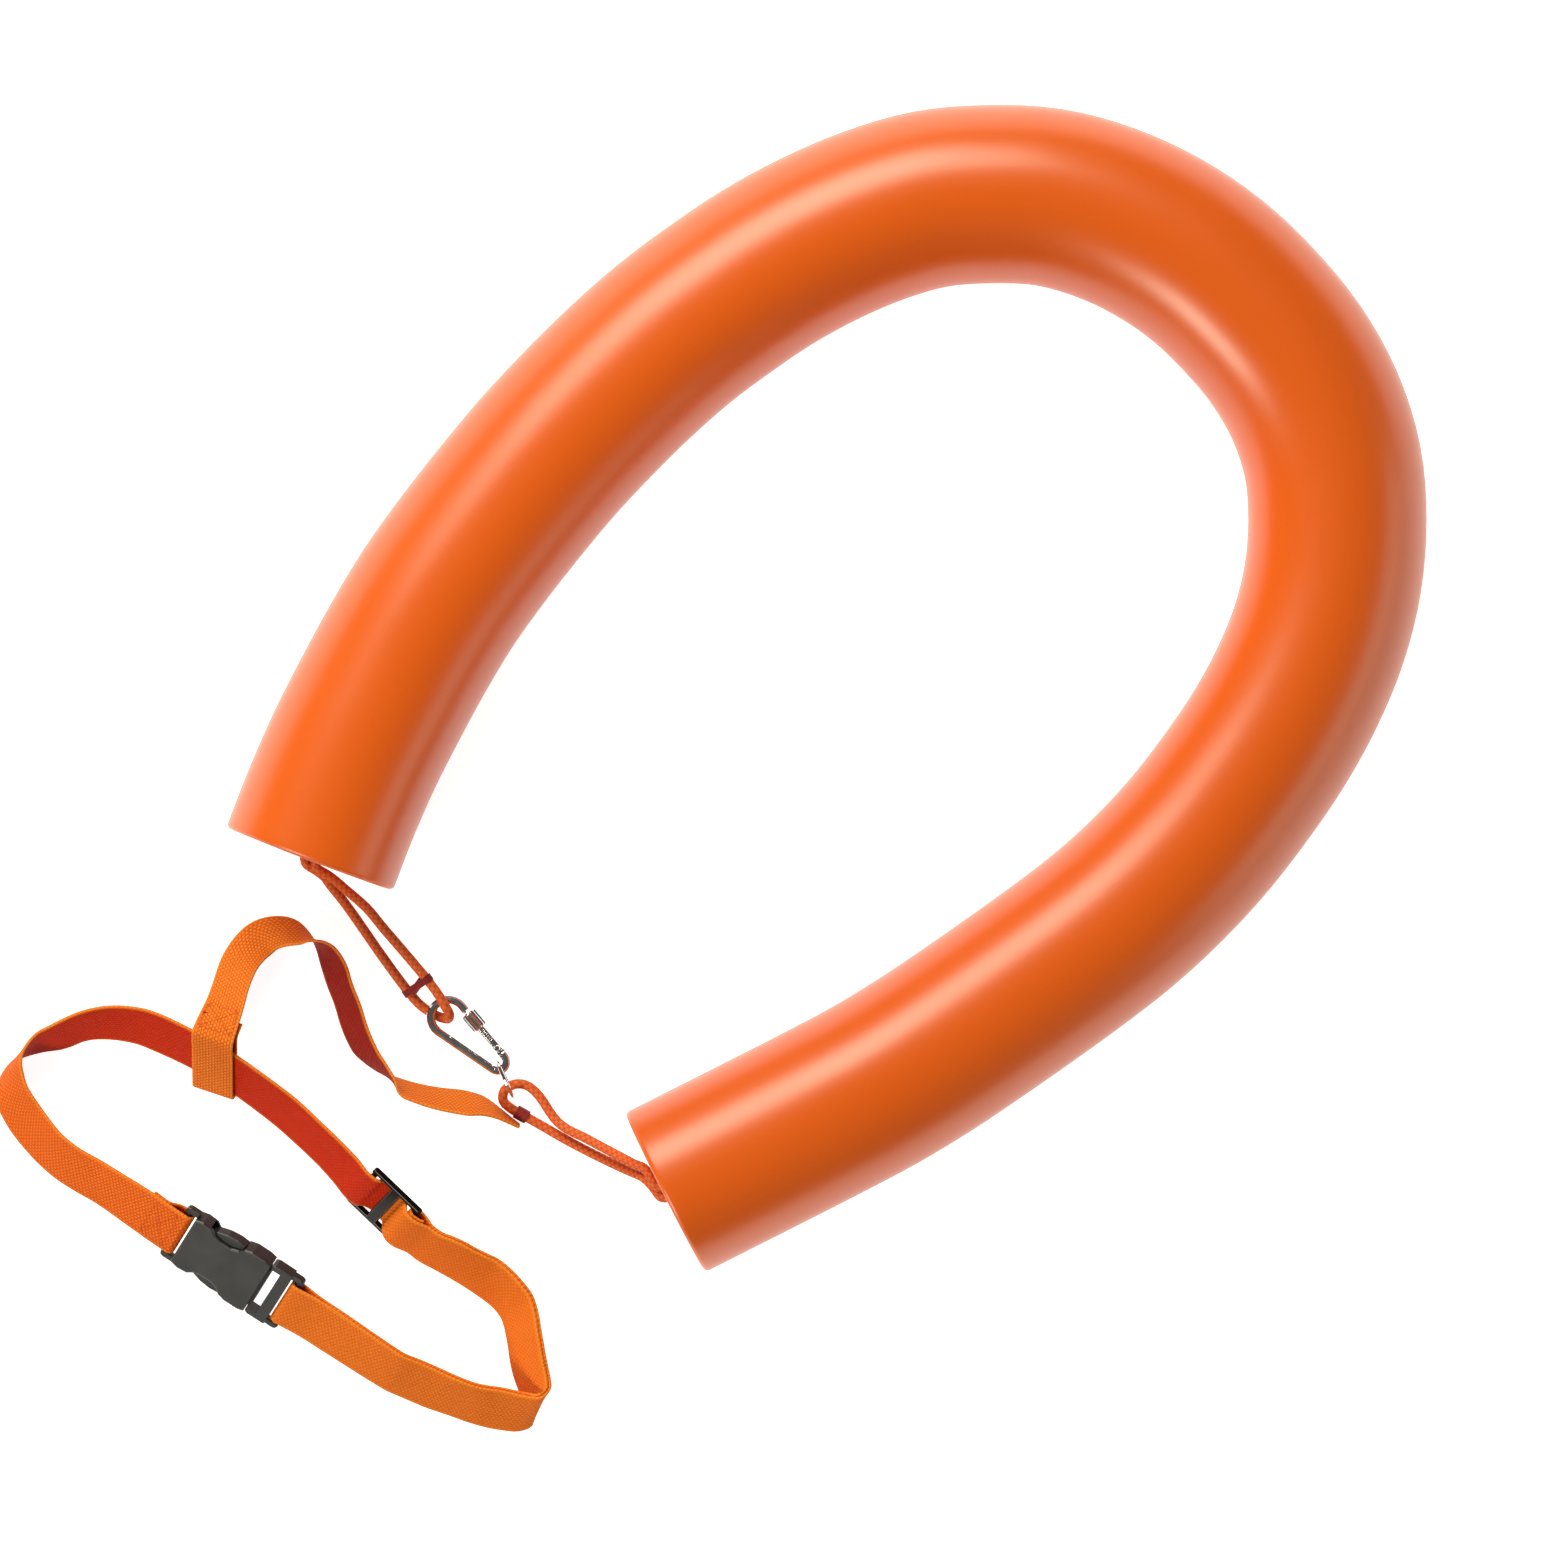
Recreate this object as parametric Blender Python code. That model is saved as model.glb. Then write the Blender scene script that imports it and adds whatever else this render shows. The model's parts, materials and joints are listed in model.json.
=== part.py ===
"""Swim belt: a waist belt on a tether, with a bent foam float tube.

The parts lie as they do on a floor, seen from above.  Plan positions are
read as picture coordinates (u to the right, v down) and scaled by
PLAN_CELL_LENGTH; heights come from the pieces' own sizes.  The origin is on the
floor under the crown of the float's bend.
"""

import math

import bmesh
import bpy
from mathutils import Matrix, Vector

MM = 0.001

# Plan scale and origin
PLAN_WIDTH = 703.35 * MM
PLAN_CELLS = 1563
PLAN_CELL_LENGTH = PLAN_WIDTH / PLAN_CELLS
ROUTE_HEIGHT_UNIT = 1 * MM
ORIGIN_U = 1235
ORIGIN_V = 299
SEAT_GAP = 0.3 * MM
FLOOR_GAP = 0.3 * MM

# Float tube
FLOAT_DIAMETER = 80 * MM
FLOAT_BORE = 12 * MM
FLOAT_FLAT_DEPTH = 0.5 * MM
FLOAT_RINGS = 44
BORE_SIDES = 16

# Cord
CORD_DIAMETER = 4.4 * MM
CORD_STEP_DIAMETERS = 2.4
CORD_MOUTH_DEPTH = 4 * MM
BARTACK_LENGTH = 3.4 * MM
BARTACK_HEIGHT = 2.6 * MM
BARTACK_EASE = 1.2 * MM
BINDING_LENGTH = 6 * MM
BINDING_WALL = 0.6 * MM
CORD_SIDES = 12

# Snap hook
HOOK_WIRE = 4 * MM
HOOK_LENGTH = 46 * MM
HOOK_WIDE_WIDTH = 20 * MM
HOOK_NARROW_WIDTH = 12 * MM
GATE_DIAMETER = 4.2 * MM
GATE_SLOT = 2.3 * MM
GATE_TONGUE = 1.7 * MM
NOSE_GAP = 0.4 * MM
RIVET_DIAMETER = 1.6 * MM
RIVET_HEAD = 2.8 * MM
RIVET_HEAD_HEIGHT = 0.5 * MM
NUT_DIAMETER = 7.6 * MM
NUT_LENGTH = 9 * MM
NUT_RIBS = 14
NUT_RIB_DEPTH = 0.35 * MM
SPRING_DIAMETER = 2 * MM
SPRING_WIRE = 0.36 * MM
SPRING_TURNS = 6
SPRING_LENGTH = 6 * MM
PLUNGER_LENGTH = 3 * MM
PLUNGER_DIAMETER = 1.9 * MM
RING_WIRE = 1.8 * MM
RING_BORE = 15 * MM

# Side-release buckle
BUCKLE_WIDTH = 34 * MM
BUCKLE_CHEEK = 4.5 * MM
BUCKLE_THICKNESS = 8.4 * MM
BUCKLE_WALL = 1.4 * MM
SOCKET_LENGTH = 46 * MM
PLUG_EXPOSED = 16.9 * MM
BAR_WIDTH = 3.2 * MM
BAR_THICKNESS = 3 * MM
SLOT_MARGIN = 0.8 * MM
BUCKLE_LEAN_SHARE = 0.78

# Webbing
BELT_WIDTH = BUCKLE_WIDTH - 2 * BUCKLE_CHEEK
BELT_THICKNESS = 1.4 * MM
STRAP_WIDTH = 20 * MM
STRAP_THICKNESS = 1.3 * MM
STRAP_TIP_WIDTH = 9 * MM

# Slider
SLIDER_LENGTH = 29 * MM
SLIDER_RAIL = 2.2 * MM
SLIDER_THICKNESS = 2.8 * MM
SLIDER_END_BAR = 3 * MM
SLIDER_MID_BAR = 5.5 * MM
SLIDER_LEAN_SHARE = 0.64

# Finishes: colour, roughness, metallic
FOAM = ("orange_foam", (0.84, 0.16, 0.015), 0.5, 0.0)
WEBBING = ("orange_webbing", (0.85, 0.19, 0.02), 0.75, 0.0)
CORD = ("orange_cord", (0.72, 0.16, 0.06), 0.65, 0.0)
THREAD = ("dark_thread", (0.25, 0.01, 0.01), 0.7, 0.0)
PLASTIC = ("black_plastic", (0.04, 0.04, 0.042), 0.45, 0.0)
STEEL = ("bright_steel", (0.75, 0.75, 0.76), 0.18, 1.0)

UP = Vector((0, 0, 1))


def plan(u, v, height=0.0):
    """Point above the floor from a picture coordinate and a height."""
    return Vector(((u - ORIGIN_U) * PLAN_CELL_LENGTH, (ORIGIN_V - v) * PLAN_CELL_LENGTH, height))


def plan_direction(u, v):
    """Level unit vector from a picture direction."""
    return Vector((u, -v, 0)).normalized()


def clear_scene():
    """Remove what the file held before."""
    for item in list(bpy.data.objects):
        bpy.data.objects.remove(item, do_unlink=True)


def finish_material(finish):
    """A fresh Principled material for one object."""
    name, colour, roughness, metallic = finish
    material = bpy.data.materials.new(name)
    material.use_nodes = True
    shader = material.node_tree.nodes["Principled BSDF"]
    shader.inputs["Base Color"].default_value = (*colour, 1)
    shader.inputs["Roughness"].default_value = roughness
    shader.inputs["Metallic"].default_value = metallic
    material.diffuse_color = (*colour, 1)
    return material


def add_object(name, bm, finish, frame=None, smooth_angle=40):
    """Turn a bmesh into a named object, in world space or in a frame."""
    bmesh.ops.recalc_face_normals(bm, faces=bm.faces[:])
    mesh = bpy.data.meshes.new(name)
    bm.to_mesh(mesh)
    bm.free()
    mesh.shade_smooth()
    mesh.set_sharp_from_angle(angle=math.radians(smooth_angle))
    obj = bpy.data.objects.new(name, mesh)
    bpy.context.scene.collection.objects.link(obj)
    if frame is not None:
        obj.matrix_world = frame
    mesh.materials.append(finish_material(finish))
    return obj


def hide_cutter(obj):
    """Mark a helper solid as a cutter."""
    obj.hide_render = True
    obj.display_type = "WIRE"
    return obj


def cut(target, cutter, operation="DIFFERENCE"):
    """Apply a Boolean with the exact solver."""
    modifier = target.modifiers.new(cutter.name, "BOOLEAN")
    modifier.operation = operation
    modifier.solver = "EXACT"
    modifier.object = cutter
    hide_cutter(cutter)


def frame_from(origin, along, across):
    """Frame with X along, Y across and Z as their normal."""
    along = along.normalized()
    normal = along.cross(across).normalized()
    across = normal.cross(along)
    frame = Matrix((along, across, normal)).transposed().to_4x4()
    frame.translation = origin
    return frame


def smooth_points(points, spacing=None, count=None):
    """Even points on a smooth curve through chosen points of any size."""
    dense = []
    samples = 24
    last = len(points) - 1
    for i in range(last):
        before = points[max(i - 1, 0)]
        start = points[i]
        end = points[i + 1]
        after = points[min(i + 2, last)]
        for k in range(samples):
            t = k / samples
            dense.append(tuple(
                0.5 * (2 * b + (c - a) * t + (2 * a - 5 * b + 4 * c - d) * t * t
                       + (3 * b - a - 3 * c + d) * t ** 3)
                for a, b, c, d in zip(before, start, end, after)))
    dense.append(tuple(points[last]))
    reach = [0.0]
    for a, b in zip(dense, dense[1:]):
        reach.append(reach[-1] + math.dist(a[:3], b[:3]))
    if count is None:
        count = max(2, round(reach[-1] / spacing) + 1)
    result = []
    k = 0
    for i in range(count):
        goal = reach[-1] * i / (count - 1)
        while k < len(reach) - 2 and reach[k + 1] < goal:
            k += 1
        share = (goal - reach[k]) / (reach[k + 1] - reach[k])
        result.append(tuple(p + (q - p) * share for p, q in zip(dense[k], dense[k + 1])))
    return result


def tangents(points):
    """Unit direction at each point of a path."""
    last = len(points) - 1
    return [(points[min(i + 1, last)] - points[max(i - 1, 0)]).normalized()
            for i in range(last + 1)]


def loft(bm, rings, closed=False):
    """Bridge rings of equal count and cap the ends; returns the rings' verts."""
    made = [[bm.verts.new(p) for p in ring] for ring in rings]
    pairs = list(zip(made, made[1:]))
    if closed:
        pairs.append((made[-1], made[0]))
    for low, high in pairs:
        size = len(low)
        for k in range(size):
            bm.faces.new((low[k], low[(k + 1) % size], high[(k + 1) % size], high[k]))
    if not closed:
        bm.faces.new(made[0][::-1])
        bm.faces.new(made[-1])
    return made


def circle(centre, side, up, radius, sides, turn_share=0.0):
    """Ring of points round a centre, in the plane of two unit vectors."""
    step = math.tau / sides
    return [centre + side * (radius * math.cos((k + turn_share) * step))
            + up * (radius * math.sin((k + turn_share) * step)) for k in range(sides)]


def swept_rings(points, radius, sides, radii=None, turn_share=0.0):
    """Rings of a round tube along a path, turned as little as possible."""
    directions = tangents(points)
    side = directions[0].cross(UP)
    if side.length < 1e-6:
        side = Vector((1, 0, 0))
    side.normalize()
    rings = []
    for i, (point, direction) in enumerate(zip(points, directions)):
        side = (side - direction * side.dot(direction)).normalized()
        up = side.cross(direction)
        size = radii[i] if radii else radius
        rings.append(circle(point, side, up, size, sides, turn_share))
    return rings


def cord_object(name, points, finish, diameter=None):
    """A cord as a bevelled curve with filled ends."""
    curve = bpy.data.curves.new(name, "CURVE")
    curve.dimensions = "3D"
    curve.bevel_depth = (diameter or CORD_DIAMETER) / 2
    curve.bevel_resolution = 2
    curve.use_fill_caps = True
    spline = curve.splines.new("POLY")
    spline.points.add(len(points) - 1)
    for target, point in zip(spline.points, points):
        target.co = (*point, 1)
    obj = bpy.data.objects.new(name, curve)
    bpy.context.scene.collection.objects.link(obj)
    curve.materials.append(finish_material(finish))
    return obj


# Float tube

FLOAT_AXIS_PLAN = [
    (311.5, 858.5), (351, 761), (412, 644), (458, 572), (524, 487), (568, 437), (621, 383),
    (676, 334), (742, 286), (803, 249), (881, 215), (947, 199), (1035, 198), (1102, 214),
    (1173, 249), (1235, 299), (1294, 371), (1324, 439), (1335, 503), (1329, 589), (1309, 656),
    (1285, 707), (1256, 756), (1217, 810), (1184, 850), (1149, 886), (1110, 921), (1058, 961),
    (1016, 991), (955, 1033), (867, 1088), (665.5, 1191),
]
FLOAT_AXIS_HEIGHT = FLOAT_DIAMETER / 2 - FLOAT_FLAT_DEPTH


def float_axis():
    """Stations along the middle of the bent tube."""
    chosen = [plan(u, v, FLOAT_AXIS_HEIGHT) for u, v in FLOAT_AXIS_PLAN]
    return [Vector(p) for p in smooth_points(chosen, count=FLOAT_RINGS)]


def tube_bmesh(axis, outer_radius, inner_radius, inner_sides, outer_per_inner=1):
    """Open pipe along a path, with flat ring ends."""
    bm = bmesh.new()
    shells = []
    for radius, sides in ((outer_radius, inner_sides * outer_per_inner),
                          (inner_radius, inner_sides)):
        made = [[bm.verts.new(p) for p in ring] for ring in swept_rings(axis, radius, sides)]
        for low, high in zip(made, made[1:]):
            for k in range(sides):
                after = (k + 1) % sides
                bm.faces.new((low[k], low[after], high[after], high[k]))
        shells.append(made)
    outer, inner = shells
    for end in (0, -1):
        rim = outer[end]
        for k in range(len(rim)):
            after = (k + 1) % len(rim)
            near = inner[end][k // outer_per_inner]
            far = inner[end][after // outer_per_inner]
            corners = [rim[k], rim[after], far]
            if near is not far:
                corners.append(near)
            bm.faces.new(corners)
    bmesh.ops.recalc_face_normals(bm, faces=bm.faces[:])
    return bm


def build_float():
    """Foam tube with its bore, its ends square and its underside flat."""
    bm = tube_bmesh(float_axis(), FLOAT_DIAMETER / 2, FLOAT_BORE / 2, BORE_SIDES, 2)
    bmesh.ops.bisect_plane(bm, geom=bm.verts[:] + bm.edges[:] + bm.faces[:], dist=1e-7,
                           plane_co=(0, 0, 0), plane_no=UP, clear_inner=True)
    rim = [e for e in bm.edges if e.is_boundary]
    bmesh.ops.holes_fill(bm, edges=rim, sides=0)
    add_object("float_tube", bm, FOAM)


STRAND_INNER_SHARES = (0.74, -0.2)
STRAND_OUTER_SHARES = (-0.72, -0.2)
BORE_FACET_SHARE = 0.98


def strand_path(shares):
    """Route of one strand in the bore, from one tube face to the other."""
    axis = float_axis()
    directions = tangents(axis)
    reach = FLOAT_BORE / 2 * BORE_FACET_SHARE - CORD_DIAMETER / 2 - SEAT_GAP
    level, drop = (share * reach for share in shares)
    path = []
    for point, direction in zip(axis, directions):
        inward = direction.cross(UP)
        path.append(point + inward * level + UP * drop)
    return path


def build_core_strands():
    """The two strands of the cord inside the float's bore."""
    for name, shares in (("core_strand_inner", STRAND_INNER_SHARES),
                         ("core_strand_outer", STRAND_OUTER_SHARES)):
        path = strand_path(shares)
        depth = CORD_MOUTH_DEPTH + SEAT_GAP
        path[0] = path[0] + (path[1] - path[0]).normalized() * depth
        path[-1] = path[-1] + (path[-2] - path[-1]).normalized() * depth
        cord_object(name, path, CORD)


# Cord loops: u, v and the height in millimetres

LEFT_LOOP_ROUTE = [
    (332.5, 877, 34.6), (341, 884.5, 32), (353, 895, 28), (368, 909, 23), (384, 929, 18.4), (400, 948, 15),
    (416, 967, 13), (429, 983, 12.3), (437.5, 994.5, 12.2), (442.5, 1003, 12),
    (446.5, 1010, 11), (448.8, 1015.3, 9.3), (449, 1018.3, 7.3), (446, 1019.6, 5.2),
    (439, 1018, 3.2), (430, 1013.5, 2.5), (419, 1006, 2.6), (406, 991, 3.4),
    (392, 972, 5.6), (376, 949, 10), (360, 925, 15.5), (345, 903, 22), (332, 886, 29),
    (324, 875, 34),
]
RIGHT_LOOP_ROUTE = [
    (646, 1168.5, 34), (634, 1163, 30.5), (618, 1155, 25), (600, 1146, 19), (582, 1137, 13.5),
    (567, 1130, 9.8), (556, 1121.5, 7.6), (548, 1111, 6.7), (541, 1100, 6.6),
    (534, 1092, 6.5), (525.5, 1086, 6.5), (517, 1084.3, 6.6), (508.5, 1087.8, 6.6),
    (502, 1093.5, 6.3), (502.5, 1102, 5.5), (509.5, 1109, 4.9), (519, 1114.5, 4.6),
    (528, 1119.5, 4.4), (543, 1128, 4),
    (562, 1139, 4.4), (583, 1150, 7.2), (606, 1161, 12.8), (628, 1170.5, 21.5),
    (646, 1178.5, 30.5),
]


def loop_path(route, end):
    """A free loop from one strand's mouth round to the other's."""
    mouths = []
    for shares in (STRAND_INNER_SHARES, STRAND_OUTER_SHARES):
        path = strand_path(shares)
        if end:
            path.reverse()
        outward = (path[0] - path[1]).normalized()
        lead = outward * (CORD_DIAMETER / 2)
        mouths.append([path[0] - outward * CORD_MOUTH_DEPTH, path[0], path[0] + lead])
    chosen = mouths[0][1:] + [plan(u, v, height * ROUTE_HEIGHT_UNIT) for u, v, height in route]
    chosen += mouths[1][:0:-1]
    spacing = CORD_STEP_DIAMETERS * CORD_DIAMETER / 2
    free = [Vector(p) for p in smooth_points(chosen, spacing=spacing)]
    return [mouths[0][0]] + free + [mouths[1][0]]


def path_part(path, centre, length, steps):
    """An even stretch of a path round the point nearest to a place."""
    near = min(range(len(path)), key=lambda i: (path[i] - centre).length)
    direction = tangents(path)[near]
    return [path[near] + direction * (length * (k / steps - 0.5)) for k in range(steps + 1)]


LEFT_BARTACK_PLAN = (421, 985)
BINDING_PLAN = (525, 1118)


def build_cord_loops():
    """Both free loops, the thread between their strands and the binding."""
    left = loop_path(LEFT_LOOP_ROUTE, False)
    right = loop_path(RIGHT_LOOP_ROUTE, True)
    cord_object("left_cord_loop", left, CORD)
    cord_object("right_cord_loop", right, CORD)
    build_bartack("loop_bartack", left, plan(*LEFT_BARTACK_PLAN))
    centre = plan(*BINDING_PLAN, CORD_DIAMETER)
    radius = CORD_DIAMETER / 2 + SEAT_GAP
    bm = tube_bmesh(path_part(right, centre, BINDING_LENGTH, 2), radius + BINDING_WALL, radius,
                    CORD_SIDES)
    add_object("tether_binding", bm, THREAD)


def build_bartack(name, path, place):
    """Block of thread that holds the two strands of a loop together."""
    middle = len(path) // 2
    sides = []
    for strand in (path[:middle], path[middle:]):
        sides.append(min(strand, key=lambda p: math.hypot(p.x - place.x, p.y - place.y)))
    across = sides[1] - sides[0]
    free = across.length - CORD_DIAMETER - 2 * SEAT_GAP - BARTACK_EASE
    along = across.cross(UP).normalized()
    frame = frame_from((sides[0] + sides[1]) / 2, along, across)
    bm = bmesh.new()
    bmesh.ops.create_cube(bm, size=1)
    bmesh.ops.scale(bm, vec=(BARTACK_LENGTH, free, BARTACK_HEIGHT), verts=bm.verts[:])
    add_object(name, bm, THREAD, frame)


# Snap hook, in a frame with X from its wide end to its narrow end

HOOK_PLAN = (431, 1003)
HOOK_PLAN_AXIS = (0.741, 0.671)
HOOK_HEIGHT = CORD_DIAMETER + HOOK_WIRE / 2 + 3 * SEAT_GAP
HOOK_SIDES = 12
ROUND_SIDES = 16
NOSE_LENGTH = 3.5 * MM
HINGE_INSET = 4.9 * MM
TONGUE_RADIUS = 1.75 * MM
TONGUE_INSET = 1.6 * MM
SPRING_SEAT_GAP = 0.3 * MM


def hook_frame():
    """Frame of the hook, level above the cord that it lies on."""
    u, v = HOOK_PLAN_AXIS
    return frame_from(plan(*HOOK_PLAN, HOOK_HEIGHT), plan_direction(u, v), plan_direction(v, -u))


def hook_centres():
    """Middles and centreline radii of the two bends."""
    wide = HOOK_WIDE_WIDTH / 2
    narrow = HOOK_NARROW_WIDTH / 2
    return (wide, wide - HOOK_WIRE / 2), (HOOK_LENGTH - narrow, narrow - HOOK_WIRE / 2)


def gate_line():
    """Start, direction and length of the straight side that the gate closes."""
    (wide_x, wide_r), (narrow_x, narrow_r) = hook_centres()
    slope = (wide_r - narrow_r) / (narrow_x - wide_x)
    normal = Vector((slope, math.sqrt(1 - slope * slope), 0))
    start = Vector((wide_x, 0, 0)) + normal * wide_r
    end = Vector((narrow_x, 0, 0)) + normal * narrow_r
    return start, (end - start).normalized(), (end - start).length


def gate_frame():
    """Frame on the hinge pin with X along the gate towards its nose end."""
    start, direction, length = gate_line()
    pin = start + direction * (length - HINGE_INSET)
    return hook_frame() @ frame_from(pin, -direction, -direction.cross(UP) * -1)


def gate_reach():
    """Distance from the hinge pin to the face of the nose."""
    return gate_line()[2] - HINGE_INSET - NOSE_LENGTH


def arc_points(x, radius, start, end, steps):
    """Points on an arc in the hook's plane, angles in degrees."""
    return [Vector((x + radius * math.cos(math.radians(a)), radius * math.sin(math.radians(a)), 0))
            for a in (start + (end - start) * k / steps for k in range(steps + 1))]


def turned(name, profile, finish, frame, sides=ROUND_SIDES, closed=False):
    """Solid turned about the frame's X axis from (place, radius) pairs."""
    along, side, up = Vector((1, 0, 0)), Vector((0, 1, 0)), Vector((0, 0, 1))
    bm = bmesh.new()
    loft(bm, [circle(along * x, side, up, radius, sides) for x, radius in profile], closed)
    return add_object(name, bm, finish, frame)


def cylinder_cutter(name, radius, length, frame, sides=ROUND_SIDES):
    """Round cutter about the frame's Z axis."""
    bm = bmesh.new()
    bmesh.ops.create_cone(bm, cap_ends=True, segments=sides, radius1=radius, radius2=radius,
                          depth=length)
    return hide_cutter(add_object(name, bm, STEEL, frame))


def box_solid(name, size, centre, frame, finish):
    """Plain box of a size about a centre in a frame."""
    bm = bmesh.new()
    bmesh.ops.create_cube(bm, size=1)
    bmesh.ops.scale(bm, vec=size, verts=bm.verts[:])
    bmesh.ops.translate(bm, vec=centre, verts=bm.verts[:])
    return add_object(name, bm, finish, frame)


def build_hook_body():
    """Bent wire with a nose at one end and a flat hinge tongue at the other."""
    (wide_x, wide_r), (narrow_x, narrow_r) = hook_centres()
    start, direction, length = gate_line()
    tilt = math.degrees(math.atan2(direction.y, direction.x))
    points = [start + direction * NOSE_LENGTH, start + direction * (NOSE_LENGTH * 0.8)]
    points += arc_points(wide_x, wide_r, 90 + tilt, 270 - tilt, 14)
    points += arc_points(narrow_x, narrow_r, -90 - tilt, 90 + tilt, 10)
    shank = length - HINGE_INSET + GATE_DIAMETER / 2 + 3 * SEAT_GAP
    points.append(start + direction * (shank + TONGUE_INSET / 4))
    points.append(start + direction * shank)
    radii = [HOOK_WIRE / 2] * len(points)
    radii[0] *= 0.82
    radii[-1] *= 0.9
    bm = bmesh.new()
    loft(bm, swept_rings(points, HOOK_WIRE / 2, HOOK_SIDES, radii))
    body = add_object("hook_body", bm, STEEL, hook_frame())
    frame = gate_frame()
    reach = GATE_DIAMETER / 2 + 3 * SEAT_GAP + TONGUE_INSET
    bm = bmesh.new()
    outline = [(TONGUE_RADIUS * math.cos(a), TONGUE_RADIUS * math.sin(a))
               for a in (math.pi * (k / 8 - 0.5) for k in range(9))]
    outline += [(-reach, TONGUE_RADIUS), (-reach, -TONGUE_RADIUS)]
    half = GATE_TONGUE / 2
    loft(bm, [[Vector((x, y, -half)) for x, y in outline],
              [Vector((x, y, half)) for x, y in outline]])
    cut(body, add_object("tongue", bm, STEEL, frame), "UNION")
    cut(body, cylinder_cutter("tongue_hole", RIVET_DIAMETER / 2 + SEAT_GAP, GATE_DIAMETER * 2,
                              frame))


def build_gate():
    """Gate rod with its fork and bore, and what works inside it."""
    frame = gate_frame()
    radius = GATE_DIAMETER / 2
    reach = gate_reach() - NOSE_GAP
    chamfer = radius / 5
    slot_depth = TONGUE_RADIUS + 5 * SEAT_GAP
    gate = turned("hook_gate", [(-radius, radius - chamfer), (-radius + chamfer, radius),
                                (reach - chamfer, radius), (reach, radius - chamfer)],
                  STEEL, frame)
    cut(gate, box_solid("fork_slot", (slot_depth + 2 * radius, GATE_DIAMETER * 2, GATE_SLOT),
                        ((slot_depth - 2 * radius) / 2, 0, 0), frame, STEEL))
    plunger_start = TONGUE_RADIUS + SEAT_GAP
    spring_start = plunger_start + PLUNGER_LENGTH + SPRING_SEAT_GAP
    spring_end = spring_start + SPRING_LENGTH
    bore = spring_end + SEAT_GAP
    bore_radius = SPRING_DIAMETER / 2 + SEAT_GAP
    cut(gate, hide_cutter(turned("spring_bore", [(0, bore_radius), (bore, bore_radius)], STEEL,
                                 frame)))
    cut(gate, cylinder_cutter("pin_hole", RIVET_DIAMETER / 2 + SEAT_GAP, GATE_DIAMETER * 2, frame))
    tip = PLUNGER_DIAMETER / 4
    turned("gate_plunger", [(plunger_start, tip), (plunger_start + tip, PLUNGER_DIAMETER / 2),
                            (plunger_start + PLUNGER_LENGTH, PLUNGER_DIAMETER / 2)],
           STEEL, frame)
    build_spring(frame, spring_start)
    half = radius + SEAT_GAP
    upright = frame @ Matrix.Rotation(math.radians(-90), 4, "Y")
    shank = RIVET_DIAMETER / 2
    head = RIVET_HEAD / 2
    turned("gate_rivet", [(-half - RIVET_HEAD_HEIGHT, head * 0.7), (-half, head), (-half, shank),
                          (half, shank), (half, head), (half + RIVET_HEAD_HEIGHT, head * 0.7)],
           STEEL, upright)


def build_spring(frame, start):
    """Small closing spring, one wire along a helix."""
    steps = 9
    radius = (SPRING_DIAMETER - SPRING_WIRE) / 2
    count = SPRING_TURNS * steps + 1
    reach = SPRING_LENGTH - SPRING_WIRE
    points = []
    for k in range(count):
        angle = math.tau * k / steps
        x = start + SPRING_WIRE / 2 + reach * k / (count - 1)
        points.append(frame @ Vector((x, radius * math.cos(angle), radius * math.sin(angle))))
    bm = bmesh.new()
    loft(bm, swept_rings(points, SPRING_WIRE / 2, 5))
    add_object("gate_spring", bm, STEEL)


def build_lock_nut():
    """Ribbed sleeve that screws over the nose to lock the gate."""
    frame = gate_frame()
    end = gate_reach() - NOSE_GAP - SEAT_GAP
    start = end - NUT_LENGTH
    bore = max(GATE_DIAMETER, HOOK_WIRE) / 2 + SEAT_GAP
    outer = NUT_DIAMETER / 2
    chamfer = NUT_RIB_DEPTH * 2
    along, side, up = Vector((1, 0, 0)), Vector((0, 1, 0)), Vector((0, 0, 1))

    def ring(x, radius, depth=0.0):
        points = []
        for k in range(2 * NUT_RIBS):
            angle = math.tau * k / (2 * NUT_RIBS)
            size = radius - (depth if k % 2 else 0.0)
            points.append(along * x + side * (size * math.cos(angle)) + up * (size * math.sin(angle)))
        return points

    rings = [ring(start, bore), ring(start, outer - chamfer),
             ring(start + chamfer, outer, NUT_RIB_DEPTH), ring(end - chamfer, outer, NUT_RIB_DEPTH),
             ring(end, outer - chamfer), ring(end, bore)]
    bm = bmesh.new()
    loft(bm, rings, closed=True)
    add_object("lock_nut", bm, STEEL, frame, smooth_angle=25)


RING_PLAN_AXIS = (0.42, 0.91)


def ring_frame():
    """Frame of the upright link ring: X away from the hook, Y up."""
    along = plan_direction(*RING_PLAN_AXIS)
    radius = RING_BORE / 2
    height = radius + RING_WIRE + SEAT_GAP
    hook = hook_frame()
    narrow_x, narrow_r = hook_centres()[1]
    end = hook @ Vector((narrow_x, 0, 0)) + along * narrow_r
    free = radius - HOOK_WIRE / 2 - 1.2 * SEAT_GAP
    offset = math.sqrt(free * free - (height - end.z) ** 2)
    centre = end + along * offset
    centre.z = height
    return frame_from(centre, along, UP)


def build_ring():
    """Round link between the hook and the right cord loop."""
    radius = (RING_BORE + RING_WIRE) / 2
    bm = bmesh.new()
    rings = []
    steps = 24
    for k in range(steps):
        angle = math.tau * k / steps
        out = Vector((math.cos(angle), math.sin(angle), 0))
        rings.append(circle(out * radius, out, Vector((0, 0, 1)), RING_WIRE / 2, 8))
    loft(bm, rings, closed=True)
    add_object("link_ring", bm, STEEL, ring_frame())


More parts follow.
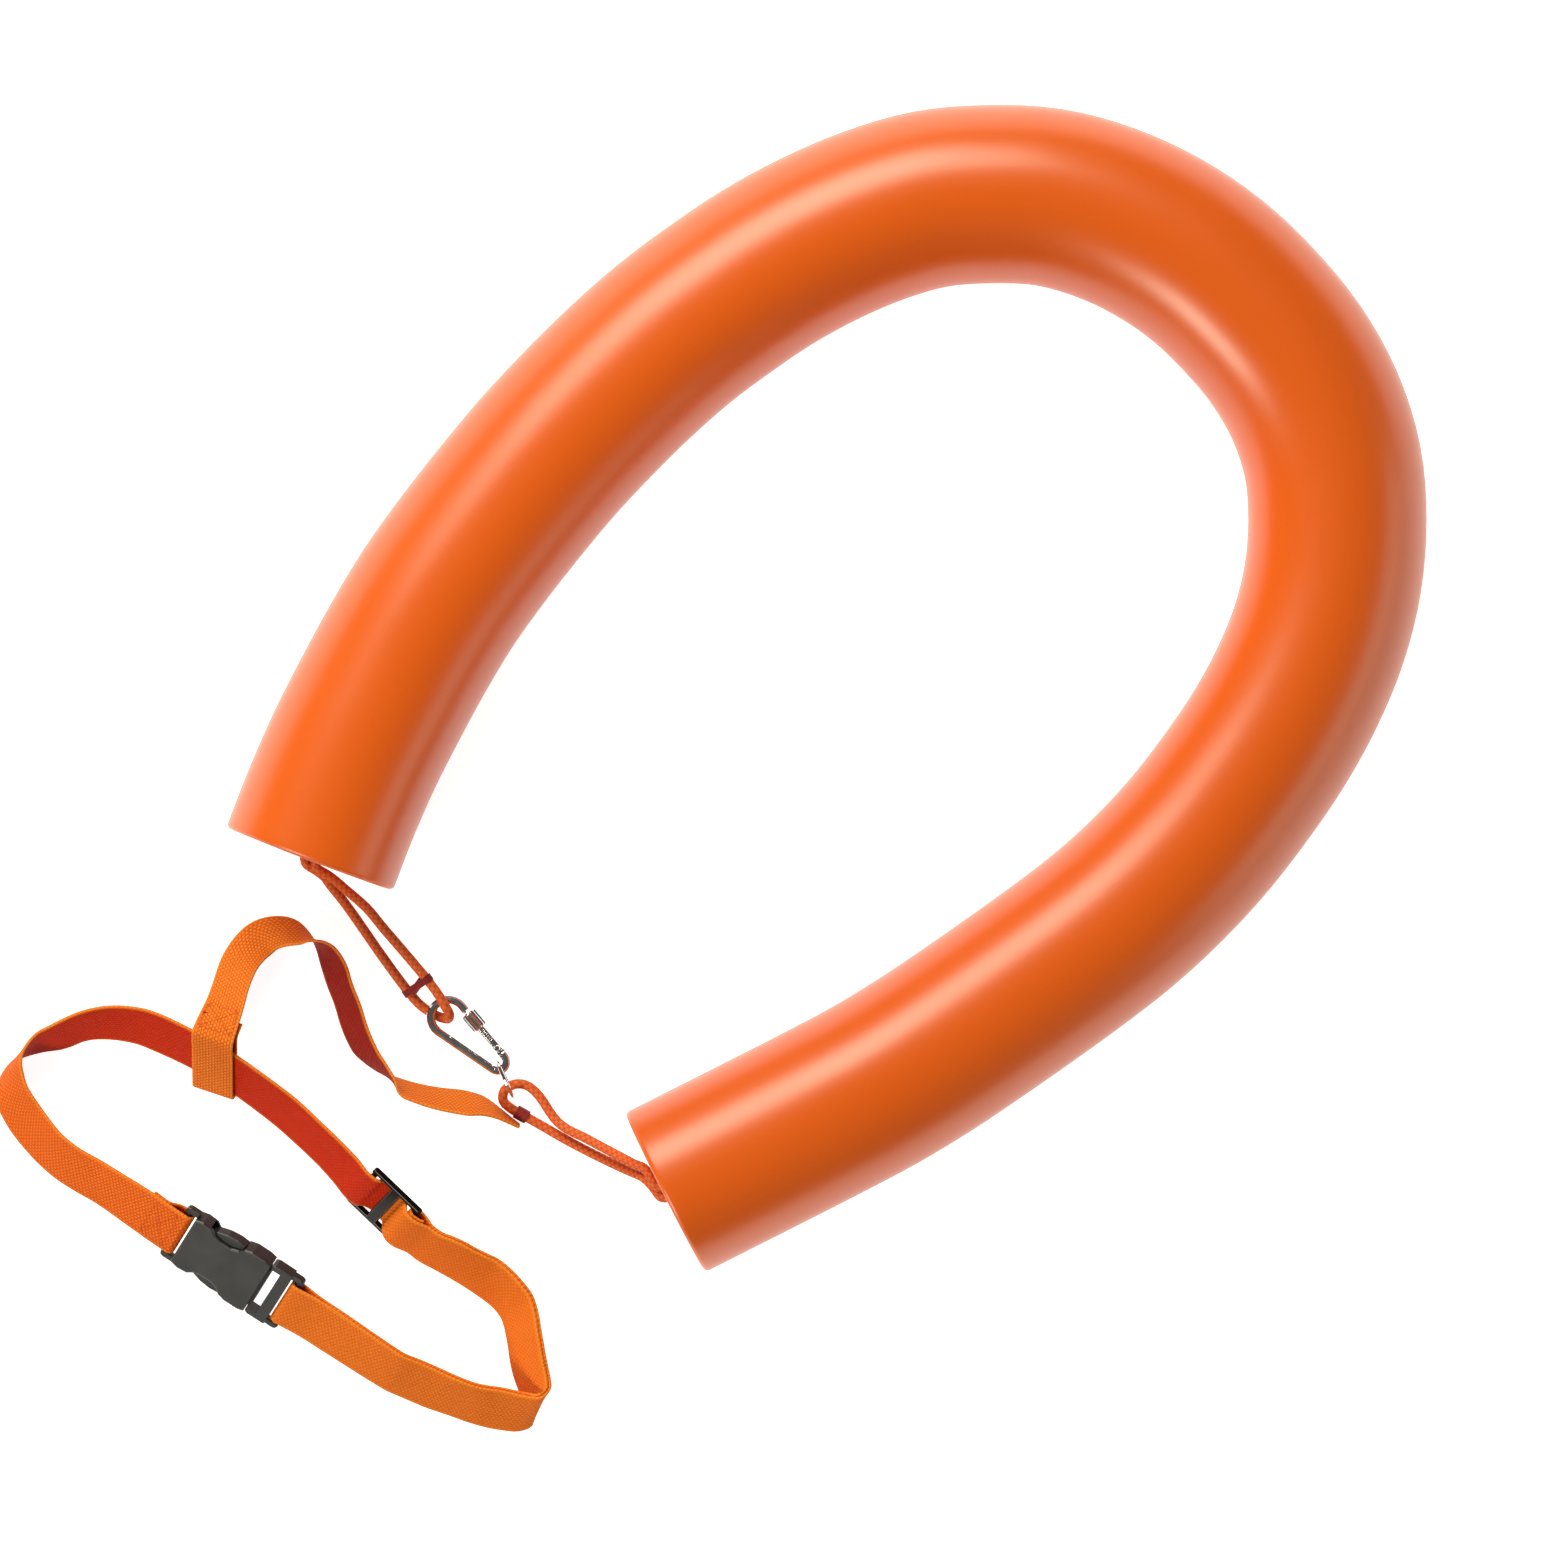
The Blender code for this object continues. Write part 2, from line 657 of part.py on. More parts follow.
# Webbing: u and v of the lower edge, u and v of the raised edge, and the
# share of the run's lift.  WEBBING_PLAN_WIDTH is the belt's width in the
# picture when it lies flat.

BELT_PLAN_WIDTH = 55.6
STRAP_PLAN_WIDTH = 44.4
RUN_LIFT = 7 * MM
KEEPER_LIFT_SHARE = 1.04

WAIST_ROUTE = [
    (97, 1206, 120, 1172, 0.6), (76, 1194, 100, 1160, 0.35), (55, 1181, 80, 1149, 0.15),
    (33, 1162, 60, 1133, 0), (10, 1135, 40, 1107, 0), (-4, 1110, 30, 1092, 0),
    (-7, 1094, 24, 1078, 0), (6, 1066, 22, 1056, 0), (32, 1054, 34, 1036, 0),
    (62, 1049, 50, 1026, 0), (84, 1041, 80, 1012, 0.1), (108, 1040, 110, 1006, 0.25),
    (133, 1044, 140, 1008, 0.5), (152, 1051, 163, 1015, 0.8),
    (185, 1066, 200, 1033, KEEPER_LIFT_SHARE), (213, 1082, 231, 1051, KEEPER_LIFT_SHARE),
    (237, 1098, 257, 1069, 0.85), (257, 1113, 280, 1086, 0.6), (277, 1129, 300, 1102, 0.42),
    (297, 1147, 320, 1121, 0.4), (317, 1166, 340, 1140, 0.45),
]
FRONT_ROUTE = [
    (439, 1272, 460, 1241, 0.4), (461, 1285, 480, 1252, 0.2), (480, 1298, 500, 1262, 0.1),
    (493, 1308, 520, 1281, 0), (503, 1322, 533, 1300, 0), (508, 1342, 540, 1334, 0),
    (512, 1368, 545, 1362, 0), (518, 1388, 548, 1376, 0), (526, 1404, 549, 1386, 0),
    (531, 1417, 545, 1393, 0), (528, 1428, 537, 1396, 0), (515, 1432, 524, 1394, 0),
    (490, 1429, 500, 1389, 0),
    (468, 1423, 480, 1386, 0), (446, 1415, 460, 1379, 0.1), (425, 1408, 440, 1370, 0.2),
    (402, 1398, 420, 1361, 0.35), (381, 1388, 400, 1352, 0.6),
]
STRAP_ROUTE = [
    (518, 1126, 520, 1131, 0), (509, 1119, 510, 1128, 0), (497, 1109, 496, 1122, 0),
    (482, 1098, 480, 1117, 0),
    (462, 1092, 460, 1114, 0), (443, 1090, 440, 1110, 0), (424, 1087, 420, 1104, 0),
    (404, 1082, 400, 1095, 0), (380, 1074, 395, 1080, 0), (363, 1063, 385, 1063, 0),
    (352, 1053, 378, 1052, 0), (341, 1031, 368, 1030, 0), (333, 1005, 360, 1005, 0),
    (326, 987, 352, 985, 0), (320, 968, 345, 963, 0), (316, 953, 330, 944, 0),
    (310, 938, 312, 941, 0), (297, 923, 301, 944, 0), (280, 917, 287, 946, 0),
    (260, 919, 277, 949, 0), (245, 926, 271, 954, 0.15), (232, 939, 264, 960, 0.5),
    (220, 959, 257, 969, 1.1), (213, 981, 250, 986, 1.9), (207, 999, 245, 1006, 2.7),
]


class Station:
    """Place on a webbing run: its middle and the direction across it."""

    def __init__(self, centre, across):
        self.centre = centre
        self.across = across.normalized()

    def values(self):
        """Six numbers for the smooth curve."""
        return (*self.centre, *self.across)


def floor_stations(route, width, plan_width, thickness):
    """Stations of webbing that stands on its lower edge and leans."""
    stations = []
    for ub, vb, ua, va, lift_share in route:
        lean_share = min(math.dist((ub, vb), (ua, va)) / plan_width, 0.97)
        level = plan_direction(ua - ub, va - vb)
        across = level * lean_share + UP * math.sqrt(1 - lean_share * lean_share)
        base = FLOOR_GAP + thickness / 2 * lean_share + RUN_LIFT * lift_share
        stations.append(Station(plan(ub, vb, base) + across * (width / 2), across))
    return stations


def smooth_run(stations, spacing):
    """Even stations on a smooth run through chosen ones."""
    even = smooth_points([station.values() for station in stations], spacing=spacing)
    return [Station(Vector(p[:3]), Vector(p[3:])) for p in even]


def run_normals(stations):
    """Direction out of the webbing's inner face at each station."""
    directions = tangents([station.centre for station in stations])
    return [direction.cross(station.across).normalized()
            for direction, station in zip(directions, stations)]


def ribbon(name, stations, width, thickness, finish=WEBBING, widths=None):
    """Flat webbing through its stations."""
    rings = []
    for i, (station, normal) in enumerate(zip(stations, run_normals(stations))):
        half = (widths[i] if widths else width) / 2
        side = station.across * half
        rise = normal * (thickness / 2)
        c = station.centre
        rings.append([c - side - rise, c + side - rise, c + side + rise, c - side + rise])
    bm = bmesh.new()
    loft(bm, rings)
    return add_object(name, bm, finish, smooth_angle=30)


def local_stations(frame, path):
    """Stations from (along, height) places in a fitting's frame."""
    across = frame.to_3x3() @ Vector((0, 1, 0))
    return [Station(frame @ Vector((x, 0, h)), across) for x, h in path]


def leaning_frame(plan_point, axis, lean_share, height):
    """Frame of a fitting on the leaning belt."""
    u, v = axis
    along = plan_direction(u, v)
    level = plan_direction(v, -u)
    across = level * lean_share + UP * math.sqrt(1 - lean_share * lean_share)
    return frame_from(plan(*plan_point, height), along, across)


BUCKLE_PLAN = (173.7, 1229)
BUCKLE_PLAN_AXIS = (0.839, 0.545)
SLIDER_PLAN = (384, 1205.5)
SLIDER_PLAN_AXIS = (0.723, 0.692)


def fitting_height(width, thickness, lean_share):
    """Height of a leaning fitting's middle when its lower edge is on the floor."""
    upright_share = math.sqrt(1 - lean_share * lean_share)
    return FLOOR_GAP + width / 2 * upright_share + thickness / 2 * lean_share


def buckle_frame():
    """Buckle frame: X from the socket's ears to the plug, Z out of its face."""
    height = fitting_height(BUCKLE_WIDTH, BUCKLE_THICKNESS, BUCKLE_LEAN_SHARE)
    return leaning_frame(BUCKLE_PLAN, BUCKLE_PLAN_AXIS, BUCKLE_LEAN_SHARE, height)


def slider_width():
    """Overall width of the slider."""
    return BELT_WIDTH + 2 * SLOT_MARGIN + 2 * SLIDER_RAIL


def slider_frame():
    """Slider frame: X along the belt, Z out of its inner face."""
    height = fitting_height(slider_width(), SLIDER_THICKNESS, SLIDER_LEAN_SHARE)
    return leaning_frame(SLIDER_PLAN, SLIDER_PLAN_AXIS, SLIDER_LEAN_SHARE, height)


BAR_INSET = 0.4 * MM
BAR_SINK = 0.15 * MM


def buckle_length():
    """Length of the closed buckle."""
    return SOCKET_LENGTH + PLUG_EXPOSED


def bar_centre():
    """Distance of a webbing bar's middle from its end of the buckle."""
    return BAR_INSET + BAR_WIDTH / 2


def wrap_path(x, half_width, half_height, thickness, side):
    """Half turn of webbing round a rounded bar, from below to above."""
    reach = half_width + SEAT_GAP + thickness / 2
    rise = half_height + SEAT_GAP + thickness / 2
    steps = 8
    return [(x + side * reach * math.cos(a), rise * math.sin(a))
            for a in (math.pi * (k / steps - 0.5) for k in range(steps + 1))]


WEB_SPACING = 6 * MM
SLIDER_RUN = 13 * MM
LAYER_PITCH = BELT_THICKNESS + SEAT_GAP
STRAIGHT_RUN = 20 * MM


def slider_levels():
    """Heights of the webbing's middle over a slider bar, one and two layers up."""
    first = SLIDER_THICKNESS / 2 + SEAT_GAP + BELT_THICKNESS / 2
    return first, first + LAYER_PITCH


def slider_bar_place():
    """Distance of an end bar's middle from the slider's middle."""
    return (SLIDER_LENGTH - SLIDER_END_BAR) / 2 - BAR_INSET


def waist_run():
    """Smooth run from the socket round the waist to the slider."""
    over = slider_levels()[0]
    bar = slider_bar_place()
    rise = BAR_THICKNESS / 2 + SEAT_GAP + BELT_THICKNESS / 2
    first = local_stations(buckle_frame(), [(bar_centre() - STRAIGHT_RUN / 2, rise * 0.85),
                                            (bar_centre() - STRAIGHT_RUN, rise * 0.6)])
    last = local_stations(slider_frame(), [(-bar - STRAIGHT_RUN / 2, over * 0.5),
                                           (-bar - STRAIGHT_RUN / 5, over)])
    floor = floor_stations(WAIST_ROUTE, BELT_WIDTH, BELT_PLAN_WIDTH, BELT_THICKNESS)
    return smooth_run(first + floor + last, WEB_SPACING)


def build_waist_webbing():
    """Webbing from its sewn fold on the socket round the waist to the slider."""
    rise = BAR_THICKNESS / 2 + SEAT_GAP + BELT_THICKNESS / 2
    x = bar_centre()
    below = rise * 0.85 - LAYER_PITCH
    fold = [(x - STRAIGHT_RUN * 0.9, rise * 0.6 - LAYER_PITCH), (x - STRAIGHT_RUN / 2, below),
            (x - STRAIGHT_RUN / 4, -rise * 0.8)]
    fold += wrap_path(x, BAR_WIDTH / 2, BAR_THICKNESS / 2, BELT_THICKNESS, 1)
    stations = local_stations(buckle_frame(), fold) + waist_run()
    over = slider_levels()[0]
    bar = slider_bar_place()
    mid = SLIDER_MID_BAR / 2
    dip = [(-bar, over), (-bar + SLIDER_END_BAR, over * 0.7), ((-bar - mid) / 2, -over * 0.2),
           (-mid * 1.75, -over * 0.8), (-mid * 0.9, -over), (-SEAT_GAP / 2, -over)]
    stations += local_stations(slider_frame(), dip)
    ribbon("belt_webbing_long", stations, BELT_WIDTH, BELT_THICKNESS)


def front_run():
    """Smooth middle of the doubled run from the slider to the plug."""
    bar = slider_bar_place()
    first = local_stations(slider_frame(), [(bar + SLIDER_RUN * 0.75, 0),
                                            (bar + SLIDER_RUN, 0)])
    end = buckle_length() - bar_centre()
    last = local_stations(buckle_frame(), [(end + STRAIGHT_RUN * 1.1, 0),
                                           (end + STRAIGHT_RUN * 0.8, 0)])
    floor = floor_stations(FRONT_ROUTE, BELT_WIDTH, BELT_PLAN_WIDTH, BELT_THICKNESS)
    for station in floor:
        station.centre.z += LAYER_PITCH / 2
    return smooth_run(first + floor + last, WEB_SPACING)


def build_front_webbing():
    """Doubled webbing: slider, plug bar and back to its sewn end at the slider."""
    over, twice = slider_levels()
    bar = slider_bar_place()
    mid = SLIDER_MID_BAR / 2
    slider = slider_frame()
    buckle = buckle_frame()
    half = LAYER_PITCH / 2
    run = front_run()
    normals = run_normals(run)
    inner = [Station(s.centre + n * half, s.across) for s, n in zip(run, normals)]
    outer = [Station(s.centre - n * half, s.across) for s, n in zip(run, normals)]
    climb = [(SEAT_GAP / 2, -over), (mid * 0.9, -over), (mid * 1.8, -over * 0.75),
             (mid * 2.4, over * 0.2), (bar - SLIDER_END_BAR * 1.45, over * 1.1),
             (bar - SLIDER_END_BAR * 0.8, twice * 0.95), (bar, twice + SEAT_GAP / 2),
             (bar + SLIDER_RUN / 4, twice * 0.92), (bar + SLIDER_RUN / 2, over * 0.95)]
    rise = BAR_THICKNESS / 2 + SEAT_GAP + BELT_THICKNESS / 2
    end = buckle_length() - bar_centre()
    wrap = wrap_path(end, BAR_WIDTH / 2, BAR_THICKNESS / 2, BELT_THICKNESS, -1)
    away = [(end + STRAIGHT_RUN * k, rise * (1 - k * 1.0)) for k in (0.25, 0.5)]
    under = [(x, -h) for x, h in away[::-1]]
    stations = local_stations(slider, climb) + inner + local_stations(buckle, under + wrap + away)
    stations += outer[::-1]
    lower = [(bar + SLIDER_RUN / 2, -LAYER_PITCH), (bar + SLIDER_RUN / 4, -over * 0.95)]
    turn = wrap_path(bar, SLIDER_END_BAR / 2, SLIDER_THICKNESS / 2, BELT_THICKNESS, -1)
    tail = [(bar + SLIDER_RUN / 4, over * 0.75), (bar + SLIDER_RUN * 0.4, over * 0.3)]
    stations += local_stations(slider, lower + turn + tail)
    ribbon("belt_webbing_doubled", stations, BELT_WIDTH, BELT_THICKNESS)


# Tether strap with its sewn keeper loop on the belt

KEEPER_PLAN = (211, 1063)
KEEPER_EASE = 0.7 * MM
KEEPER_TURN = math.radians(20)
TIP_RUN = 24 * MM
STRAP_SPACING = 5 * MM


def keeper_frame():
    """Frame on the belt inside the keeper: X along, Y up across, Z inwards."""
    run = waist_run()
    place = plan(*KEEPER_PLAN)
    gaps = [math.hypot(s.centre.x - place.x, s.centre.y - place.y) for s in run]
    near = gaps.index(min(gaps))
    along = tangents([s.centre for s in run])[near]
    return frame_from(run[near].centre, along, run[near].across) @ Matrix.Rotation(KEEPER_TURN, 4, "Z")


def build_tether_strap():
    """Strap from the right cord loop to the loop it wears round the belt."""
    floor = floor_stations(STRAP_ROUTE, STRAP_WIDTH, STRAP_PLAN_WIDTH, STRAP_THICKNESS)
    frame = keeper_frame()
    across = frame.to_3x3() @ Vector((1, 0, 0))
    edge = BELT_WIDTH / 2 / math.cos(KEEPER_TURN) + STRAP_WIDTH / 2 * math.tan(KEEPER_TURN)
    off = BELT_THICKNESS / 2 + SEAT_GAP + KEEPER_EASE + STRAP_THICKNESS / 2
    entry = [(edge + 0.9 * off, 0.6 * off), (edge - 1.2 * off, 1.15 * off)]
    face = [(edge * 0.5, off), (0, off), (-edge * 0.5, off)]
    steps = 8
    fold = [(-edge - off * math.sin(a), off * math.cos(a))
            for a in (math.pi * k / steps for k in range(steps + 1))]
    back = [(-edge * 0.5, -off), (0, -off), (edge * 0.7, -off), (edge, -off * 1.1),
            (edge + 0.9 * off, -1.9 * off), (edge + 1.7 * off, -3.6 * off)]

    def placed(path):
        return [Station(frame @ Vector((0, a, b)), across) for a, b in path]

    run = smooth_run(floor + placed(entry), STRAP_SPACING)
    stations = run + placed(face + fold + back)
    walked = 0.0
    widths = []
    for k, station in enumerate(stations):
        if k:
            walked += (station.centre - stations[k - 1].centre).length
        share = min(walked / TIP_RUN, 1.0)
        widths.append(STRAP_TIP_WIDTH + (STRAP_WIDTH - STRAP_TIP_WIDTH) * share)
    for station, width in zip(stations, widths):
        station.centre = station.centre - station.across * ((STRAP_WIDTH - width) / 2)
    ribbon("tether_strap", stations, STRAP_WIDTH, STRAP_THICKNESS, widths=widths)


# Side-release buckle and slider

SOCKET_OUTLINE_SHARES = [
    (0.135, 0.86), (0.22, 0.93), (0.33, 0.90), (0.39, 0.76), (0.46, 0.70), (0.58, 0.70),
    (0.65, 0.78), (0.70, 0.93), (0.78, 1.0), (0.93, 1.0), (1.0, 0.95),
]
ARM_OUTLINE_SHARES = [
    (0.69, 0.81), (0.69, 0.972), (0.60, 0.996), (0.49, 0.955), (0.38, 0.85), (0.335, 0.71),
    (0.345, 0.62), (0.44, 0.65), (0.55, 0.69), (0.66, 0.66),
]
ARM_PIVOT_SHARES = (0.88, 0.63)
ARM_ROOT_RADIUS = 1.5 * MM
SLOT_LENGTH = 2.4 * MM
EMPTY_SLOT = 3.9 * MM
EMPTY_SLOT_BAR = 5.4 * MM
RAIL_CORNER_SHARE = 0.6
PLUG_RAIL_THICKNESS = BAR_THICKNESS * 1.3
BUCKLE_SLOT_MARGIN = 1.3 * MM
CAVITY_START_SHARE = 0.304
PLUG_THICKNESS = 6.2 * MM
BLADE_WIDTH = 9 * MM
BLADE_TIP_SHARE = 0.42
EDGE_ROUND = 0.8 * MM


def extruded(name, outline, low, high, finish, frame, rounding=0.0):
    """Solid between two levels from an outline, with its edges rounded."""
    bm = bmesh.new()
    loft(bm, [[Vector((x, y, low)) for x, y in outline], [Vector((x, y, high)) for x, y in outline]])
    bmesh.ops.recalc_face_normals(bm, faces=bm.faces[:])
    if rounding:
        edges = [e for e in bm.edges if abs(e.verts[0].co.z - e.verts[1].co.z) < 1e-9]
        bmesh.ops.bevel(bm, geom=edges, offset=rounding, segments=2, profile=0.5, affect="EDGES",
                        clamp_overlap=True)
    return add_object(name, bm, finish, frame)


def rounded_bar(name, x, half_width, half_height, length, frame):
    """Oval bar across a fitting."""
    sides = 16
    bm = bmesh.new()
    rings = []
    for y in (-length / 2, length / 2):
        rings.append([Vector((x + half_width * math.cos(math.tau * k / sides), y,
                              half_height * math.sin(math.tau * k / sides)))
                      for k in range(sides)])
    loft(bm, rings)
    return add_object(name, bm, PLASTIC, frame)


def rectangle(x0, x1, y0, y1):
    """Corners of a rectangle."""
    return [(x0, y0), (x1, y0), (x1, y1), (x0, y1)]


def mirrored(outline):
    """Whole outline from its upper side."""
    return outline + [(x, -y) for x, y in outline[::-1]]


def rail_outline(x0, x1, inner, outer, rounded):
    """Rail with its outer corner rounded at each named end."""
    steps = 2
    radius = (outer - inner) * RAIL_CORNER_SHARE
    arc = [math.pi / 2 * k / steps for k in range(steps + 1)]
    outline = [(x0, inner), (x1, inner)]
    for end, sign in ((x1, 1), (x0, -1)):
        if end in rounded:
            corner = [(end + sign * radius * (math.cos(a) - 1),
                       outer + radius * (math.sin(a) - 1)) for a in arc]
            outline += corner[::sign]
        else:
            outline.append((end, outer))
    return outline


def add_rails(body, name, x0, x1, inner, outer, thickness, frame, bevel, rounded=()):
    """Join a side rail to each side of a fitting."""
    for sign in (1, -1):
        outline = [(x, sign * y) for x, y in rail_outline(x0, x1, inner, outer, rounded)]
        rail = extruded(f"{name}_{sign}", outline[::sign], -thickness / 2, thickness / 2, PLASTIC,
                        frame, bevel)
        cut(body, rail, "UNION")


def build_socket():
    """Hollow socket with its side windows, mouth and webbing bar."""
    frame = buckle_frame()
    half = BUCKLE_WIDTH / 2
    outline = mirrored([(x * SOCKET_LENGTH, y * half) for x, y in SOCKET_OUTLINE_SHARES])
    body = extruded("buckle_socket", outline, -BUCKLE_THICKNESS / 2, BUCKLE_THICKNESS / 2,
                    PLASTIC, frame, EDGE_ROUND)
    slot = BELT_WIDTH / 2 + BUCKLE_SLOT_MARGIN
    rail_end = BAR_INSET + BAR_WIDTH + SLOT_LENGTH + BAR_INSET * 2
    add_rails(body, "socket_rail", 0, rail_end, slot, half, BAR_THICKNESS, frame, EDGE_ROUND / 2, (0,))
    cut(body, rounded_bar("socket_bar", bar_centre(), BAR_WIDTH / 2, BAR_THICKNESS / 2 - BAR_SINK,
                          2 * slot + BAR_SINK * 4, frame), "UNION")
    room = half - BUCKLE_WALL
    height = BUCKLE_THICKNESS / 2 - BUCKLE_WALL
    cut(body, extruded("socket_cavity", rectangle(CAVITY_START_SHARE * SOCKET_LENGTH, SOCKET_LENGTH * 1.1,
                                                  -room, room),
                       -height, height, PLASTIC, frame))


def build_plug():
    """Plug frame with its bars, its root block and its guide blade."""
    frame = buckle_frame()
    half = BUCKLE_WIDTH / 2
    start = SOCKET_LENGTH + SEAT_GAP
    end = buckle_length()
    slot = BELT_WIDTH / 2 + BUCKLE_SLOT_MARGIN
    webbing_slot = end - BAR_INSET - BAR_WIDTH - SLOT_LENGTH
    outline = mirrored([(start, half * 0.95), (start + EDGE_ROUND * 2, half),
                        (webbing_slot, half)])
    body = extruded("buckle_plug", outline, -PLUG_THICKNESS / 2, PLUG_THICKNESS / 2, PLASTIC,
                    frame, EDGE_ROUND)
    empty = webbing_slot - EMPTY_SLOT_BAR - EMPTY_SLOT
    cut(body, extruded("empty_slot", rectangle(empty, empty + EMPTY_SLOT, -slot, slot),
                       -PLUG_THICKNESS, PLUG_THICKNESS, PLASTIC, frame))
    add_rails(body, "plug_rail", webbing_slot - BAR_WIDTH, end, slot, half, PLUG_RAIL_THICKNESS, frame,
              EDGE_ROUND, (end,))
    cut(body, rounded_bar("plug_bar", end - bar_centre(), BAR_WIDTH / 2, BAR_THICKNESS / 2 - BAR_SINK,
                          2 * slot + BAR_SINK * 4, frame), "UNION")
    height = BUCKLE_THICKNESS / 2 - BUCKLE_WALL - SEAT_GAP
    pivot = ARM_PIVOT_SHARES[0] * SOCKET_LENGTH
    root = pivot + ARM_ROOT_RADIUS + SEAT_GAP
    reach = ARM_PIVOT_SHARES[1] * half + ARM_ROOT_RADIUS
    blade = BLADE_WIDTH / 2
    tip = BLADE_TIP_SHARE * SOCKET_LENGTH
    inside = mirrored([(tip, blade * 0.7), (tip + blade, blade), (root, blade), (root, reach),
                       (start + EDGE_ROUND, reach)])
    cut(body, extruded("plug_blade", inside, -height, height, PLASTIC, frame), "UNION")


def build_arm(name, sign):
    """One side-release arm, about its root."""
    frame = buckle_frame()
    half = BUCKLE_WIDTH / 2
    px, py = (ARM_PIVOT_SHARES[0] * SOCKET_LENGTH, ARM_PIVOT_SHARES[1] * half)
    steps = 6
    root = [(px + ARM_ROOT_RADIUS * math.cos(a), py + ARM_ROOT_RADIUS * math.sin(a))
            for a in (math.pi * (k / steps - 0.5) for k in range(steps + 1))]
    outline = root + [(x * SOCKET_LENGTH, y * half) for x, y in ARM_OUTLINE_SHARES]
    height = BUCKLE_THICKNESS / 2 - BUCKLE_WALL - SEAT_GAP
    pivot = frame @ Matrix.Translation((px, sign * py, 0))
    extruded(name, [(x - px, sign * (y - py)) for x, y in outline], -height, height, PLASTIC,
             pivot, EDGE_ROUND / 2)


def build_slider():
    """Three-bar slider: two rails, two oval end bars and a wide middle bar."""
    frame = slider_frame()
    half = slider_width() / 2
    slot = half - SLIDER_RAIL
    length = SLIDER_LENGTH / 2
    mid = SLIDER_MID_BAR / 2
    body = extruded("tri_glide", rectangle(-mid, mid, -half + EDGE_ROUND, half - EDGE_ROUND),
                    -SLIDER_THICKNESS / 2, SLIDER_THICKNESS / 2, PLASTIC, frame, EDGE_ROUND)
    add_rails(body, "slider_rail", -length, length, slot, half, SLIDER_THICKNESS, frame,
              EDGE_ROUND / 2, (-length, length))
    for sign in (1, -1):
        cut(body, rounded_bar(f"slider_bar_{sign}", sign * slider_bar_place(), SLIDER_END_BAR / 2,
                              SLIDER_THICKNESS / 2 - BAR_SINK, 2 * slot + BAR_SINK * 4, frame),
            "UNION")


def main():
    """Build every piece."""
    clear_scene()
    build_float()
    build_core_strands()
    build_cord_loops()
    build_hook_body()
    build_gate()
    build_lock_nut()
    build_ring()
    build_waist_webbing()
    build_front_webbing()
    build_tether_strap()
    build_socket()
    build_plug()
    build_arm("plug_arm_upper", 1)
    build_arm("plug_arm_lower", -1)
    build_slider()


main()
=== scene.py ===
"""Looks of the swim belt: finishes, webbing, cords, foam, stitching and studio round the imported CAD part."""

import json
import logging
import math
from dataclasses import dataclass, field, replace
from enum import Enum
from itertools import zip_longest
from typing import Iterable, NamedTuple, Sequence

import bmesh
import bpy
from mathutils import Matrix, Vector

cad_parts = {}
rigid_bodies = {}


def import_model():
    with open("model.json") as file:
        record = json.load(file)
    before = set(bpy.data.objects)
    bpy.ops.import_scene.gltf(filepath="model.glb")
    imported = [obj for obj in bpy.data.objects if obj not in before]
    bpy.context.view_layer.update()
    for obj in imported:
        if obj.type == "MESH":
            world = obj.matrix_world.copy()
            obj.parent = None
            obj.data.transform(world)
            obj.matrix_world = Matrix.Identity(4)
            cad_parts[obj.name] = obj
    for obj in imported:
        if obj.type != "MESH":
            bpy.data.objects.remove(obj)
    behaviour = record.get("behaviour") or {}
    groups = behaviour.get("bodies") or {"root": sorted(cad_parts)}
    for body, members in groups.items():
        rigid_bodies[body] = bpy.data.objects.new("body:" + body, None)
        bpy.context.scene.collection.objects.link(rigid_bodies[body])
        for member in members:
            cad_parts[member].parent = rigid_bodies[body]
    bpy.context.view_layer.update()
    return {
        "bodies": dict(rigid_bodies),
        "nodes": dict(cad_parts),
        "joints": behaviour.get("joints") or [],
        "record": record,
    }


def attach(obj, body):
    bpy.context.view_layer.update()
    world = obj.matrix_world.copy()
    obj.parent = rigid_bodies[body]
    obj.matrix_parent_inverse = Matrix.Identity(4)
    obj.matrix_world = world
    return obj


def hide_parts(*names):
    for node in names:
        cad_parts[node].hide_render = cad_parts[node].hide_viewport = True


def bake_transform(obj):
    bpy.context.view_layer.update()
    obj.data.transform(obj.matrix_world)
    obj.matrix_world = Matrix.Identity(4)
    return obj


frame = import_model()

LOG = logging.getLogger("swim_belt")
MM = 0.001

# Metres to the unit of the tables' places, and the unit of their directions
UNIT = 0.00001
SHARE = 0.001

UP = Vector((0.0, 0.0, 1.0))

Colour = tuple[float, float, float]
Row = Sequence[float]
Section = list[tuple[float, float, float]]
Socket = bpy.types.NodeSocket
Material = bpy.types.Material
Mesh = bmesh.types.BMesh

# Ways that the slider and the plug slide
SLIDE_WAY = (0.722425, -0.691449, 0.0)
PULL_WAY = (0.838603, -0.544742, 0.0)

# Share of the section's turn past which a face lies on the seam of its map
SEAM_SHARE = 0.6

# Whole ribs added so that a rib's number is above zero, and a yarn's slant in picks to a rib
RIBS_ASIDE = 64.0
YARN_SLANT = 0.6

# Sockets of the colour mix node
MIX_COLOURS = (6, 7)
MIX_RESULT = 2

# Height of the two strands in the foam's bore, in the unit of the tables
STRAND_HEIGHT = 3882

